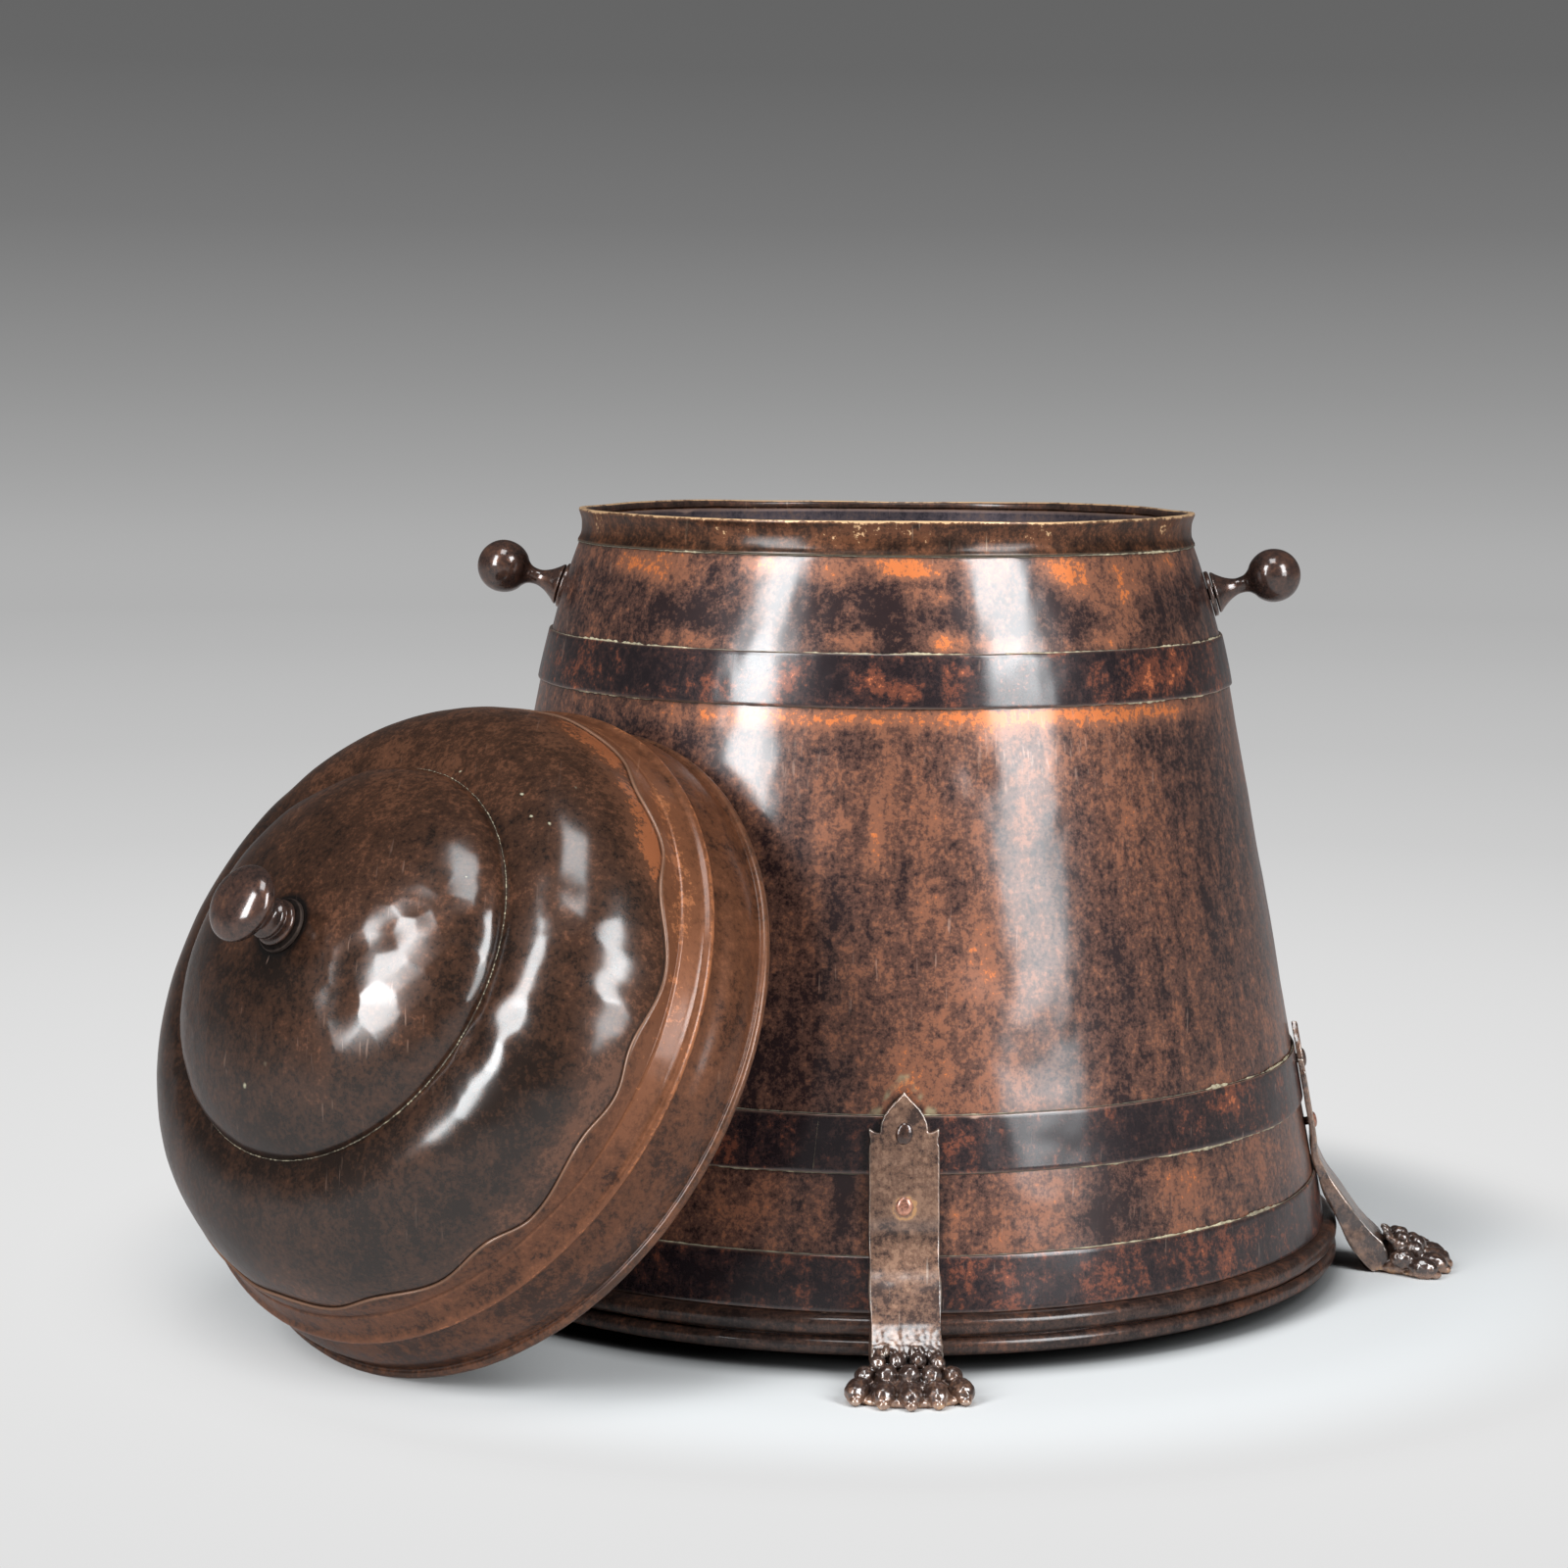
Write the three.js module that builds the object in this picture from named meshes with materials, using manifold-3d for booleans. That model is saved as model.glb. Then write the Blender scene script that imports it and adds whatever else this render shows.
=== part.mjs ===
// Coal scuttle: a tapering bin of lapped copper courses on four lion-paw legs, with its domed lid
// leaning against it. Millimetres, +Z up. The origin is the centre of the bin's underside, on its
// axis; the legs hold it a little above the floor.
import * as THREE from 'three';
import { mergeVertices } from 'three/addons/utils/BufferGeometryUtils.js';
import Module from 'manifold-3d';

const wasm = await Module();
wasm.setup();

// ---- driving dimensions: bin --------------------------------------------------------------------
const footRadius = 229.5; // outside of the wall at its foot
const coneTopRadius = 174; // outside of the wall where the straight taper ends
const shoulderTopRadius = 154.7; // outside of the wall at the neck seam
const lowerCourseHeight = 93; // bin's underside to the first joint, behind the lower band
const bodyHeight = 207.6; // first joint to the second, behind the upper band
const shoulderHeight = 56.4; // second joint to the neck seam
const neckHeight = 16.5; // seam to the top of the rim
const rimRadius = 155; // outside of the rim
const rimLip = 1.6; // depth of the rim's rounded lip
const waistDepth = 1.4; // how far the neck is drawn in under the rim
const neckFlare = 0.6; // the neck's foot stands this far proud of the shoulder
const hemHeight = 4; // the rim's edge is folded inwards this far down
const hemThickness = 3.4;
const courseSheet = 1.5; // copper sheet of the wall
const neckLap = 7; // the collar's tongue inside the shoulder
const panSheet = 2; // bottom plate
const rollWidth = 4.2; // rolled edge of the bottom plate
const rollHeight = 8;
const hoopStand = 4.7; // half-round hoop round the wall's foot, its crest outside the foot

// ---- driving dimensions: bands ------------------------------------------------------------------
const bandSheet = 1.2;
const bottomBandFoot = 18.4; // its lower edge above the bin's underside
const bottomBandWidth = 25;
const lowerBandWidth = 26; // this band and the next are centred on their joints
const upperBandWidth = 24.6;

// ---- driving dimensions: legs -------------------------------------------------------------------
const legAzimuths = { front: -87, right: -5, back: 93, left: 175 }; // degrees from +X
const soleDrop = 8; // floor below the bin's underside
const strapWidth = 32;
const strapThickness = 3;
const strapTipRise = 11; // point of the strap's head above the lower band
const strapEarDrop = 5; // tips of the ears beside the head, below the lower band's top
const strapArchWidth = 22; // foot of the pointed arch between the ears
const strapNotchDrop = 2.2;
const strapBendRise = 6.6; // above the bottom band, where the strap leaves the wall
const strapKick = 9; // above the hoop, where it turns outwards
const sweepBulge = 11; // how far the outer curve stands off the wall above the ankle
const heelReach = 15.8; // hoop to heel
const ankleReach = 19.8; // hoop to the front of the ankle
const ankleHeight = 8.5;
const pawLength = 42; // heel to toe tips
const pawWidth = 54;
const toeCount = 5;
const toeRadius = 7.2;
const rivetRise = 4.8; // upper rivet above the joint behind the lower band
const rivetPitch = 32.1;
const rivetHeadRadius = 3.75;
const rivetShankRadius = 2.1;
const rivetHeadRise = 1.5;

// ---- driving dimensions: handles ----------------------------------------------------------------
const handleAzimuths = { right: -3, left: 177 };
const handleRise = 19.6; // its axis above the upper band, on the wall
const handleBallReach = 33.6; // wall to ball centre
const handleBallRadius = 13.4;
const handleWaistRadius = 4;
const handleFlareRadius = 10.4;
const handleWasherRadius = 11.6;
const handleWasherThickness = 2.4;
const tangRadius = 3;
const tangHeadRadius = 5.2;
const tangHeadRise = 1.4;

// ---- driving dimensions: lid, heights from its rim plane ---------------------------------------
const lidSheet = 1.2;
const lidRimRadius = 160; // outside of the rolled edge
const lidWireRadius = 0.9; // wire inside the roll
const coveRadii = { foot: 156.6, mouth: 156.8, throat: 155, top: 152 }; // outside of the skirt's cove
const coveHeights = { foot: 6, mouth: 13, throat: 22, top: 29 };
const cordonHeight = 32.6; // swaged bead round the skirt
const cordonRadius = 154.3;
const cordonHalfHeight = 2.6;
const lapFootHeight = 46; // lower edge of the dome, under the skirt
const lapFootRadius = 145;
const domeSide = 20; // how far the dome's side stands up before it curves over
const domeFlat = 36; // how far the dome runs out from the crown's seam before it curves down
const lapCover = 8.6; // how far the skirt laps up the dome
const lapWave = 3.4; // rise and fall of the hammered lap edge
const lapWaves = 11;
const seamRadius = 93.3; // crown seam
const seamHeight = 100;
const crownLap = 7; // the dome's ledge under the crown
const crownHeight = 140;
const crownSide = 17; // how far the crown's side stands up before it curves over
const crownFlat = 50; // how far its top runs out before it curves down
const knobHeadRadius = 17.7;
const knobHeadHalfHeight = 8.6;
const knobHeadReach = 24.5; // crown to the middle of the knob's head
const knobFootRadius = 10.6;
const knobNeckRadius = 7.2;
const knobWasherRadius = 12.8;
const knobWasherThickness = 1.6;

// ---- driving dimensions: how the lid leans ------------------------------------------------------
const lidStandAzimuth = 225.4; // where it stands round the bin, degrees from +X
const lidTurn = 3.6; // its axis turns this much further round
const lidTilt = 29.2; // its axis above the horizontal

// ---- clearances ---------------------------------------------------------------------------------
const seat = 0.3; // between pieces that touch
const leanGap = 0.8; // lid's edge to the bin's wall

// ---- fineness of the round work -----------------------------------------------------------------
const binSides = 40;
const lidSides = 36; // a multiple of four, so that turned and lofted rings share their corners
const turnedSides = 12;
const rivetSides = 6;
const wireSides = 5;

// ---- what follows from them ---------------------------------------------------------------------
const lowerJointHeight = lowerCourseHeight;
const upperJointHeight = lowerJointHeight + bodyHeight;
const neckSeamHeight = upperJointHeight + shoulderHeight;
const bottomBand = { low: bottomBandFoot, high: bottomBandFoot + bottomBandWidth };
const hoopRadius = footRadius + hoopStand;
const centred = (height, width) => ({ low: height - width / 2, high: height + width / 2 });
const lowerBand = centred(lowerJointHeight, lowerBandWidth);
const upperBand = centred(upperJointHeight, upperBandWidth);
const coneTopHeight = upperBand.low;
const strapTipHeight = lowerBand.high + strapTipRise;
const strapEarHeight = lowerBand.high - strapEarDrop;
const strapBendHeight = bottomBand.high + strapBendRise;
const highRivet = lowerJointHeight + rivetRise;
const rivetHeights = { upper: highRivet, lower: highRivet - rivetPitch };
const heelRadius = hoopRadius + heelReach;
const ankleRadius = hoopRadius + ankleReach;
const pawTipRadius = heelRadius + pawLength;
const handleHeight = upperBand.high + handleRise;

const taper = (footRadius - coneTopRadius) / coneTopHeight;
const bandStand = seat + bandSheet; // a band's outer face off the wall
const floorHeight = -soleDrop;
const radians = THREE.MathUtils.degToRad;

// Outside of the wall: a straight cone, then a shoulder that curves in to the neck seam.
function wallRadius(z) {
  const above = Math.max(0, z - coneTopHeight);
  const rise = neckSeamHeight - coneTopHeight;
  const drawnIn = (coneTopRadius - taper * rise - shoulderTopRadius) / rise ** 2;
  return footRadius - taper * z - drawnIn * above ** 2;
}

// Slope of the wall, as the angle its outward normal rises above the horizontal.
function wallLift(z) {
  const step = 0.5;
  return Math.atan((wallRadius(z - step) - wallRadius(z + step)) / (2 * step));
}

function levels(low, high, count) {
  return Array.from({ length: count + 1 }, (_, i) => low + ((high - low) * i) / count);
}

// ---- solids -------------------------------------------------------------------------------------

// Turns a profile of [radius, height] points about +Z. A profile that starts off the axis is closed.
function turned(profile, sides) {
  const points = profile.map(([r, z]) => new THREE.Vector2(r, z));
  const onAxis = profile[0][0] === 0;
  if (!onAxis) points.push(points[0].clone());
  if (THREE.ShapeUtils.area(points) < 0) points.reverse();
  return new THREE.LatheGeometry(points, sides).rotateX(Math.PI / 2);
}

// A ring whose section may change round it: sectionAt(angle) gives a closed list of [radius, height].
function ring(sectionAt, sides) {
  const positions = [];
  const index = [];
  const count = sectionAt(0).length;
  for (let i = 0; i < sides; i += 1) {
    const angle = (2 * Math.PI * i) / sides;
    const section = sectionAt(angle).map(([r, z]) => new THREE.Vector2(r, z));
    if (THREE.ShapeUtils.area(section) < 0) section.reverse();
    for (const p of section) positions.push(p.x * Math.cos(angle), p.x * Math.sin(angle), p.y);
  }
  for (let i = 0; i < sides; i += 1) {
    const next = (i + 1) % sides;
    for (let j = 0; j < count; j += 1) {
      const k = (j + 1) % count;
      const [a, b, c, d] = [i * count + j, next * count + j, next * count + k, i * count + k];
      index.push(a, b, c, a, c, d);
    }
  }
  const geometry = new THREE.BufferGeometry();
  geometry.setAttribute('position', new THREE.Float32BufferAttribute(positions, 3));
  geometry.setIndex(index);
  return geometry;
}

function toSolid(geometry) {
  const bare = geometry.clone();
  bare.deleteAttribute('normal');
  bare.deleteAttribute('uv');
  const merged = mergeVertices(bare, 1e-4);
  return new wasm.Manifold(new wasm.Mesh({
    numProp: 3,
    vertProperties: new Float32Array(merged.attributes.position.array),
    triVerts: new Uint32Array(merged.index.array),
  }));
}

function toGeometry(solid) {
  const mesh = solid.getMesh();
  const geometry = new THREE.BufferGeometry();
  geometry.setAttribute('position', new THREE.Float32BufferAttribute(mesh.vertProperties, 3));
  geometry.setIndex(Array.from(mesh.triVerts));
  geometry.computeVertexNormals();
  return geometry;
}

function drilled(geometry, holes) {
  return toGeometry(holes.reduce((solid, hole) => solid.subtract(toSolid(hole)), toSolid(geometry)));
}

// A cylinder whose axis runs along +Z, from low to high.
function post(radius, low, high, sides) {
  const length = high - low;
  return new THREE.CylinderGeometry(radius, radius, length, sides)
    .rotateX(Math.PI / 2)
    .translate(0, 0, (low + high) / 2);
}

// Places what was made along +Z on the bin's wall at a height, with +Z as the wall's outward normal.
function ontoWall(geometry, azimuth, z) {
  const lift = wallLift(z);
  return geometry
    .rotateY(Math.PI / 2 - lift)
    .translate(wallRadius(z), 0, z)
    .rotateZ(radians(azimuth));
}

// ---- bin ----------------------------------------------------------------------------------------

// A shell between two offsets from the wall's outside, through a list of heights.
function wallShell(heights, outer, inner) {
  const outside = heights.map((z) => [wallRadius(z) + outer, z]);
  const inside = heights.map((z) => [wallRadius(z) + inner, z]).reverse();
  return turned([...outside, ...inside], binSides);
}

function panGeometry() {
  const rollInner = footRadius + seat;
  const rollOuter = rollInner + rollWidth;
  const round = rollWidth * 0.4;
  return turned([
    [0, 0],
    [rollOuter - round, 0],
    [rollOuter, round],
    [rollOuter, rollHeight - round],
    [rollOuter - round, rollHeight],
    [rollInner, rollHeight],
    [rollInner, panSheet],
    [0, panSheet],
  ], binSides);
}

function hoopGeometry() {
  const low = rollHeight + seat;
  const high = bottomBand.low - seat;
  const round = (high - low) * 0.28;
  return turned([
    [wallRadius(low) + seat, low],
    [hoopRadius - round, low],
    [hoopRadius, low + round],
    [hoopRadius, high - round],
    [hoopRadius - round, high],
    [wallRadius(high) + seat, high],
  ], binSides);
}

function bandGeometry(band, steps) {
  return wallShell(levels(band.low, band.high, steps), bandStand, seat);
}

function collarGeometry() {
  const foot = neckSeamHeight + seat / 2;
  const tongueFoot = neckSeamHeight - neckLap;
  const tongue = (z) => wallRadius(z) - courseSheet - seat;
  const rimTop = neckSeamHeight + neckHeight;
  const hem = rimTop - hemHeight;
  const waist = rimRadius - waistDepth;
  const waistHeight = (foot + hem) / 2;
  const flare = shoulderTopRadius + neckFlare;
  const round = rimLip / 3;
  return turned([
    [tongue(tongueFoot), tongueFoot],
    [tongue(neckSeamHeight), foot],
    [flare, foot],
    [flare, foot + 2 * neckFlare],
    [waist, waistHeight],
    [waist, hem - neckFlare],
    [rimRadius, rimTop - rimLip],
    [rimRadius, rimTop - round],
    [rimRadius - round, rimTop],
    [rimRadius - hemThickness, rimTop],
    [rimRadius - hemThickness, hem],
    [waist - courseSheet, hem],
    [waist - courseSheet, waistHeight],
    [tongue(neckSeamHeight) - courseSheet, foot],
    [tongue(tongueFoot) - courseSheet, tongueFoot],
  ], binSides);
}

// ---- legs: made with +X outwards from the bin's axis and +Y across the strap ------------------

// Radius of the strap's inner face, which lies on the bands.
function strapFace(z) {
  return wallRadius(z) + bandStand + seat;
}

// Side view of a leg, in radius and height: strap, sweep, ankle and paw.
function legSide() {
  const bend = strapBendHeight;
  const outward = strapThickness / Math.cos(wallLift(0));
  const top = strapTipHeight + strapThickness;
  const kick = bottomBand.low + strapKick;
  const hoopClear = hoopRadius + seat;
  const hoopTop = bottomBand.low - seat;
  const instep = [ankleRadius + toeRadius * 1.7, ankleHeight + seat];
  const toeTop = [pawTipRadius - toeRadius * 1.4, ankleHeight - seat];
  const claw = [pawTipRadius, floorHeight + toeRadius / 2];
  const side = new THREE.Shape();
  side.moveTo(strapFace(top), top);
  side.lineTo(strapFace(bend), bend);
  side.quadraticCurveTo(strapFace(kick) + seat * 3, kick, hoopClear, hoopTop);
  side.quadraticCurveTo((hoopClear + heelRadius) / 2, soleDrop / 4, heelRadius, floorHeight);
  side.lineTo(pawTipRadius - toeRadius * 0.7, floorHeight);
  side.lineTo(...claw);
  side.quadraticCurveTo(...toeTop, ...instep);
  side.lineTo(ankleRadius, ankleHeight);
  side.quadraticCurveTo(strapFace(kick) + sweepBulge, kick, strapFace(bend) + outward, bend);
  side.lineTo(strapFace(top) + outward, top);
  return side;
}

// Front view of a strap: straight sides, eared shoulders and an ogee point, widening below the ankle.
function legFront() {
  const half = strapWidth / 2;
  const pawHalf = pawWidth / 2;
  const under = floorHeight - seat;
  const pawTop = ankleHeight - seat * 7;
  const strapFoot = ankleHeight + strapThickness * 1.6;
  const notch = [strapArchWidth / 2, strapEarHeight - strapNotchDrop];
  const spring = [strapArchWidth * 0.48, (strapTipHeight + strapEarHeight) / 2];
  const front = new THREE.Shape();
  front.moveTo(-pawHalf, under);
  front.lineTo(pawHalf, under);
  front.lineTo(pawHalf, pawTop);
  front.lineTo(half, strapFoot);
  front.lineTo(half, strapEarHeight);
  front.lineTo(...notch);
  front.quadraticCurveTo(...spring, 0, strapTipHeight);
  front.quadraticCurveTo(-spring[0], spring[1], -notch[0], notch[1]);
  front.lineTo(-half, strapEarHeight);
  front.lineTo(-half, strapFoot);
  front.lineTo(-pawHalf, pawTop);
  return front;
}

// Plan of a leg: strap width as far as the ankle, then spreading to the toes.
function legPlan() {
  const half = strapWidth / 2;
  const pawHalf = (pawWidth - toeRadius) / 2;
  const inner = coneTopRadius - strapWidth;
  const spread = pawTipRadius - toeRadius * 2.5;
  const corner = pawTipRadius - toeRadius * 0.7;
  const blunt = pawTipRadius - toeRadius * 0.4;
  const plan = new THREE.Shape();
  plan.moveTo(inner, -half);
  plan.lineTo(ankleRadius, -half);
  plan.lineTo(spread, -pawHalf);
  plan.lineTo(corner, -pawHalf * 0.6);
  plan.lineTo(blunt, 0);
  plan.lineTo(corner, pawHalf * 0.6);
  plan.lineTo(spread, pawHalf);
  plan.lineTo(ankleRadius, half);
  plan.lineTo(inner, half);
  return plan;
}

function swept(shape, depth, xAxis, yAxis, zAxis) {
  const basis = new THREE.Matrix4().makeBasis(xAxis, yAxis, zAxis);
  return new THREE.ExtrudeGeometry(shape, { depth, bevelEnabled: false, curveSegments: 4 })
    .translate(0, 0, -depth / 2)
    .applyMatrix4(basis);
}

function lobe(x, y, z, rx, ry, rz) {
  return new THREE.SphereGeometry(1, 7, 5).scale(rx, ry, rz).translate(x, y, z);
}

// The lion's toes: a row of claws' pads in front and a row of knuckles behind them.
function toes() {
  const pitch = (pawWidth - 2 * toeRadius) / (toeCount - 1);
  const middle = (toeCount - 1) / 2;
  const drawnBack = pawWidth * 0.048; // the outer toes stand back and lower than the middle one
  const drawnDown = pawWidth * 0.011;
  const padHeight = floorHeight + toeRadius * 0.83;
  const knuckleHeight = ankleHeight - toeRadius * 0.63;
  return levels(-middle, middle, toeCount - 1).flatMap((off) => {
    const reach = pawTipRadius - toeRadius - drawnBack * off * off;
    const low = drawnDown * off * off;
    return [
      lobe(reach, off * pitch, padHeight - low, toeRadius, toeRadius * 0.86, toeRadius),
      lobe(reach - toeRadius * 1.9, off * pitch * 0.9, knuckleHeight - low,
        toeRadius * 1.05, toeRadius * 0.84, toeRadius * 0.95),
    ];
  });
}

function legSolid() {
  const x = new THREE.Vector3(1, 0, 0);
  const y = new THREE.Vector3(0, 1, 0);
  const z = new THREE.Vector3(0, 0, 1);
  const reach = 2 * pawTipRadius;
  const side = toSolid(swept(legSide(), pawWidth, x, z, y.clone().negate()));
  const front = toSolid(swept(legFront(), reach * 2, y, z, x));
  const plan = toSolid(swept(legPlan(), reach, x, y, z));
  let leg = side.intersect(front).intersect(plan);
  for (const pad of toes()) leg = leg.add(toSolid(pad));
  const under = new THREE.BoxGeometry(reach, pawWidth * 2, soleDrop)
    .translate(pawTipRadius, 0, floorHeight - soleDrop / 2);
  return leg.subtract(toSolid(under));
}

// Depth of the wall's inside behind its outside, which the wall's flats bring in a little.
function wallInside(z) {
  return -courseSheet - wallRadius(z) * (1 - Math.cos(Math.PI / binSides));
}

// Depth of a rivet's outer and inner seats, from the wall's outside along its normal.
function rivetSeats(z) {
  const standOff = (strapFace(z) - wallRadius(z)) * Math.cos(wallLift(z));
  return { outer: standOff + strapThickness, inner: wallInside(z) };
}

function rivetGeometry(azimuth, z) {
  const { outer, inner } = rivetSeats(z);
  const top = outer + seat;
  const bottom = inner - seat;
  const half = rivetHeadRadius * 0.72;
  return ontoWall(turned([
    [0, bottom - rivetHeadRise],
    [half, bottom - rivetHeadRise * 0.75],
    [rivetHeadRadius, bottom],
    [rivetShankRadius, bottom],
    [rivetShankRadius, top],
    [rivetHeadRadius, top],
    [half, top + rivetHeadRise * 0.75],
    [0, top + rivetHeadRise],
  ], rivetSides), azimuth, z);
}

function rivetHole(azimuth, z) {
  const { outer, inner } = rivetSeats(z);
  return ontoWall(post(rivetShankRadius + seat, inner * 3, outer * 2, rivetSides), azimuth, z);
}

function rivetHoles(z) {
  return Object.values(legAzimuths).map((azimuth) => rivetHole(azimuth, z));
}

// ---- handles ------------------------------------------------------------------------------------

function arc(centre, radius, from, to, steps) {
  return levels(from, to, steps).map((a) => [
    radius * Math.sin(radians(a)),
    centre + radius * Math.cos(radians(a)),
  ]);
}

function handleGeometry(azimuth) {
  const inner = wallInside(handleHeight) - seat;
  const start = seat * 2 + handleWasherThickness;
  const stemEnd = 148; // degrees round the ball where the stem runs into it
  const stem = handleBallReach - handleBallRadius - start;
  const ball = arc(handleBallReach, handleBallRadius, stemEnd, 0, 6);
  ball[ball.length - 1][0] = 0;
  return ontoWall(turned([
    [0, inner - tangHeadRise],
    [tangHeadRadius * 0.7, inner - tangHeadRise],
    [tangHeadRadius, inner - seat],
    [tangHeadRadius, inner],
    [tangRadius, inner],
    [tangRadius, start],
    [handleFlareRadius * 0.94, start],
    [handleFlareRadius, start + stem * 0.07],
    [handleFlareRadius * 0.72, start + stem * 0.26],
    [handleWaistRadius * 1.25, start + stem * 0.45],
    [handleWaistRadius, start + stem * 0.73],
    [handleWaistRadius * 1.12, start + stem * 0.87],
    ...ball,
  ], turnedSides), azimuth, handleHeight);
}

function handleWasherGeometry(azimuth) {
  const bore = tangRadius + seat;
  const top = seat + handleWasherThickness;
  return ontoWall(turned([
    [bore, seat],
    [handleWasherRadius, seat],
    [handleWasherRadius, top - 0.8],
    [handleWasherRadius - 0.8, top],
    [bore, top],
  ], turnedSides), azimuth, handleHeight);
}

function handleHole(azimuth) {
  const hole = post(tangRadius + seat, -courseSheet * 3, courseSheet * 2, turnedSides);
  return ontoWall(hole, azimuth, handleHeight);
}

// ---- lid, in its own frame: rim plane at z = 0, knob towards +Z --------------------------------

const v2 = (x, y) => new THREE.Vector2(x, y);

const domeCurve = new THREE.CubicBezierCurve(
  v2(lapFootRadius, lapFootHeight),
  v2(lapFootRadius, lapFootHeight + domeSide),
  v2(seamRadius + domeFlat, seamHeight),
  v2(seamRadius, seamHeight),
);

const crownCurve = new THREE.CubicBezierCurve(
  v2(seamRadius, seamHeight + seat),
  v2(seamRadius, seamHeight + seat + crownSide),
  v2(crownFlat, crownHeight),
  v2(0, crownHeight),
);

// A point of a curve, moved outwards along its normal.
function offCurve(curve, along, out) {
  const point = curve.getPointAt(along);
  const tangent = curve.getTangentAt(along);
  return [point.x + tangent.y * out, point.y - tangent.x * out];
}

function crownGeometry() {
  const bore = tangRadius + seat;
  const last = 1 - bore / crownCurve.getLength();
  const steps = levels(0, last, 5);
  const outside = steps.map((t) => offCurve(crownCurve, t, 0));
  const inside = steps.map((t) => offCurve(crownCurve, t, -lidSheet)).reverse();
  outside[0] = [seamRadius, seamHeight + seat];
  inside[inside.length - 1] = [seamRadius - lidSheet, seamHeight + seat];
  outside[outside.length - 1] = [bore, crownHeight];
  inside[0] = [bore, crownHeight - lidSheet];
  return turned([...outside, ...inside], lidSides);
}

function domeGeometry() {
  const steps = levels(0, 1, 5);
  const opening = seamRadius - crownLap;
  const outside = steps.map((t) => offCurve(domeCurve, t, 0));
  const inside = steps.map((t) => offCurve(domeCurve, t, -lidSheet)).reverse();
  return turned([
    ...outside,
    [opening, seamHeight],
    [opening, seamHeight - lidSheet],
    ...inside,
  ], lidSides);
}

// Height of the hammered lap edge above its mean, round the lid.
function lapRise(angle) {
  return lapWave * (0.7 * Math.sin(lapWaves * angle) + 0.3 * Math.sin((lapWaves - 4) * angle + 1.3));
}

const rollRadius = lidWireRadius + seat + lidSheet; // rolled edge, round the wire
const rollCentre = lidRimRadius - rollRadius;
const rollTurn = 310; // degrees that the edge is rolled through
const rollSteps = 4;

// Corners round the rolled edge, from the skirt, under the wire and back over it.
function rollArc(radius) {
  const inward = 180;
  return levels(inward, inward + rollTurn, rollSteps).map((a) => [
    rollCentre + radius * Math.cos(radians(a)),
    radius * Math.sin(radians(a)),
  ]);
}

// Section of the skirt: the lap edge, the cordon, the cove and the rolled edge, then back inside.
function skirtSection(angle) {
  const edge = (lapCover + lapRise(angle)) / domeCurve.getLength();
  const lap = [edge, 0];
  const bore = (lidWireRadius + seat) / Math.cos(radians(rollTurn / rollSteps / 2));
  const cove = ['top', 'throat', 'mouth', 'foot'].map((k) => [coveRadii[k], coveHeights[k]]);
  const cordonFoot = coveRadii.top;
  const low = cordonHeight - cordonHalfHeight;
  const high = cordonHeight + cordonHalfHeight;
  const crest = cordonHalfHeight * 0.45;
  const neck = cordonFoot - seat; // where the lap leaves the cordon
  return [
    ...lap.map((t) => offCurve(domeCurve, t, seat + lidSheet)),
    [neck, high],
    [cordonRadius, cordonHeight + crest],
    [cordonRadius, cordonHeight - crest],
    [cordonFoot, low],
    ...cove,
    ...rollArc(bore),
    ...rollArc(rollRadius).reverse(),
    ...cove.map(([r, h]) => [r - lidSheet, h]).reverse(),
    [cordonFoot - lidSheet, low],
    [cordonRadius - lidSheet, cordonHeight],
    [neck - lidSheet, high],
    ...lap.map((t) => offCurve(domeCurve, t, seat)).reverse(),
  ];
}

function wireGeometry() {
  const round = new THREE.CircleGeometry(lidWireRadius, wireSides).attributes.position;
  const section = levels(1, wireSides, wireSides - 1).map((i) => [rollCentre + round.getX(i), round.getY(i)]);
  return ring(() => section, lidSides);
}

function knobGeometry() {
  const inner = crownHeight - lidSheet - seat;
  const start = crownHeight + 2 * seat + knobWasherThickness;
  const centre = crownHeight + knobHeadReach;
  const neckEnd = 150; // degrees round the head where the neck runs into it
  const head = arc(0, 1, neckEnd, 0, 6).map(([r, h]) => [r * knobHeadRadius, centre + h * knobHeadHalfHeight]);
  head[head.length - 1][0] = 0;
  const stem = centre - knobHeadHalfHeight - start;
  const bead = knobFootRadius * 0.88;
  return turned([
    [0, inner - tangHeadRise],
    [tangHeadRadius * 0.7, inner - tangHeadRise],
    [tangHeadRadius, inner],
    [tangRadius, inner],
    [tangRadius, start],
    [knobFootRadius * 0.92, start],
    [knobFootRadius, start + stem * 0.11],
    [knobNeckRadius * 1.14, start + stem * 0.24],
    [bead, start + stem * 0.36],
    [bead, start + stem * 0.57],
    [knobNeckRadius, start + stem * 0.79],
    ...head,
  ], turnedSides);
}

function knobWasherGeometry() {
  const bore = tangRadius + seat;
  const low = crownHeight + seat;
  const high = low + knobWasherThickness;
  return turned([
    [bore, low],
    [knobWasherRadius, low],
    [knobWasherRadius - 0.5, high],
    [bore, high],
  ], turnedSides);
}

// ---- where the lid leans ------------------------------------------------------------------------

const lidAzimuth = radians(lidStandAzimuth + lidTurn);
const tilt = radians(lidTilt);
const lidAxis = new THREE.Vector3(
  Math.cos(tilt) * Math.cos(lidAzimuth),
  Math.cos(tilt) * Math.sin(lidAzimuth),
  Math.sin(tilt),
);
const lidAcross = new THREE.Vector3(-Math.sin(lidAzimuth), Math.cos(lidAzimuth), 0);
const lidUp = new THREE.Vector3().crossVectors(lidAxis, lidAcross);

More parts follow.
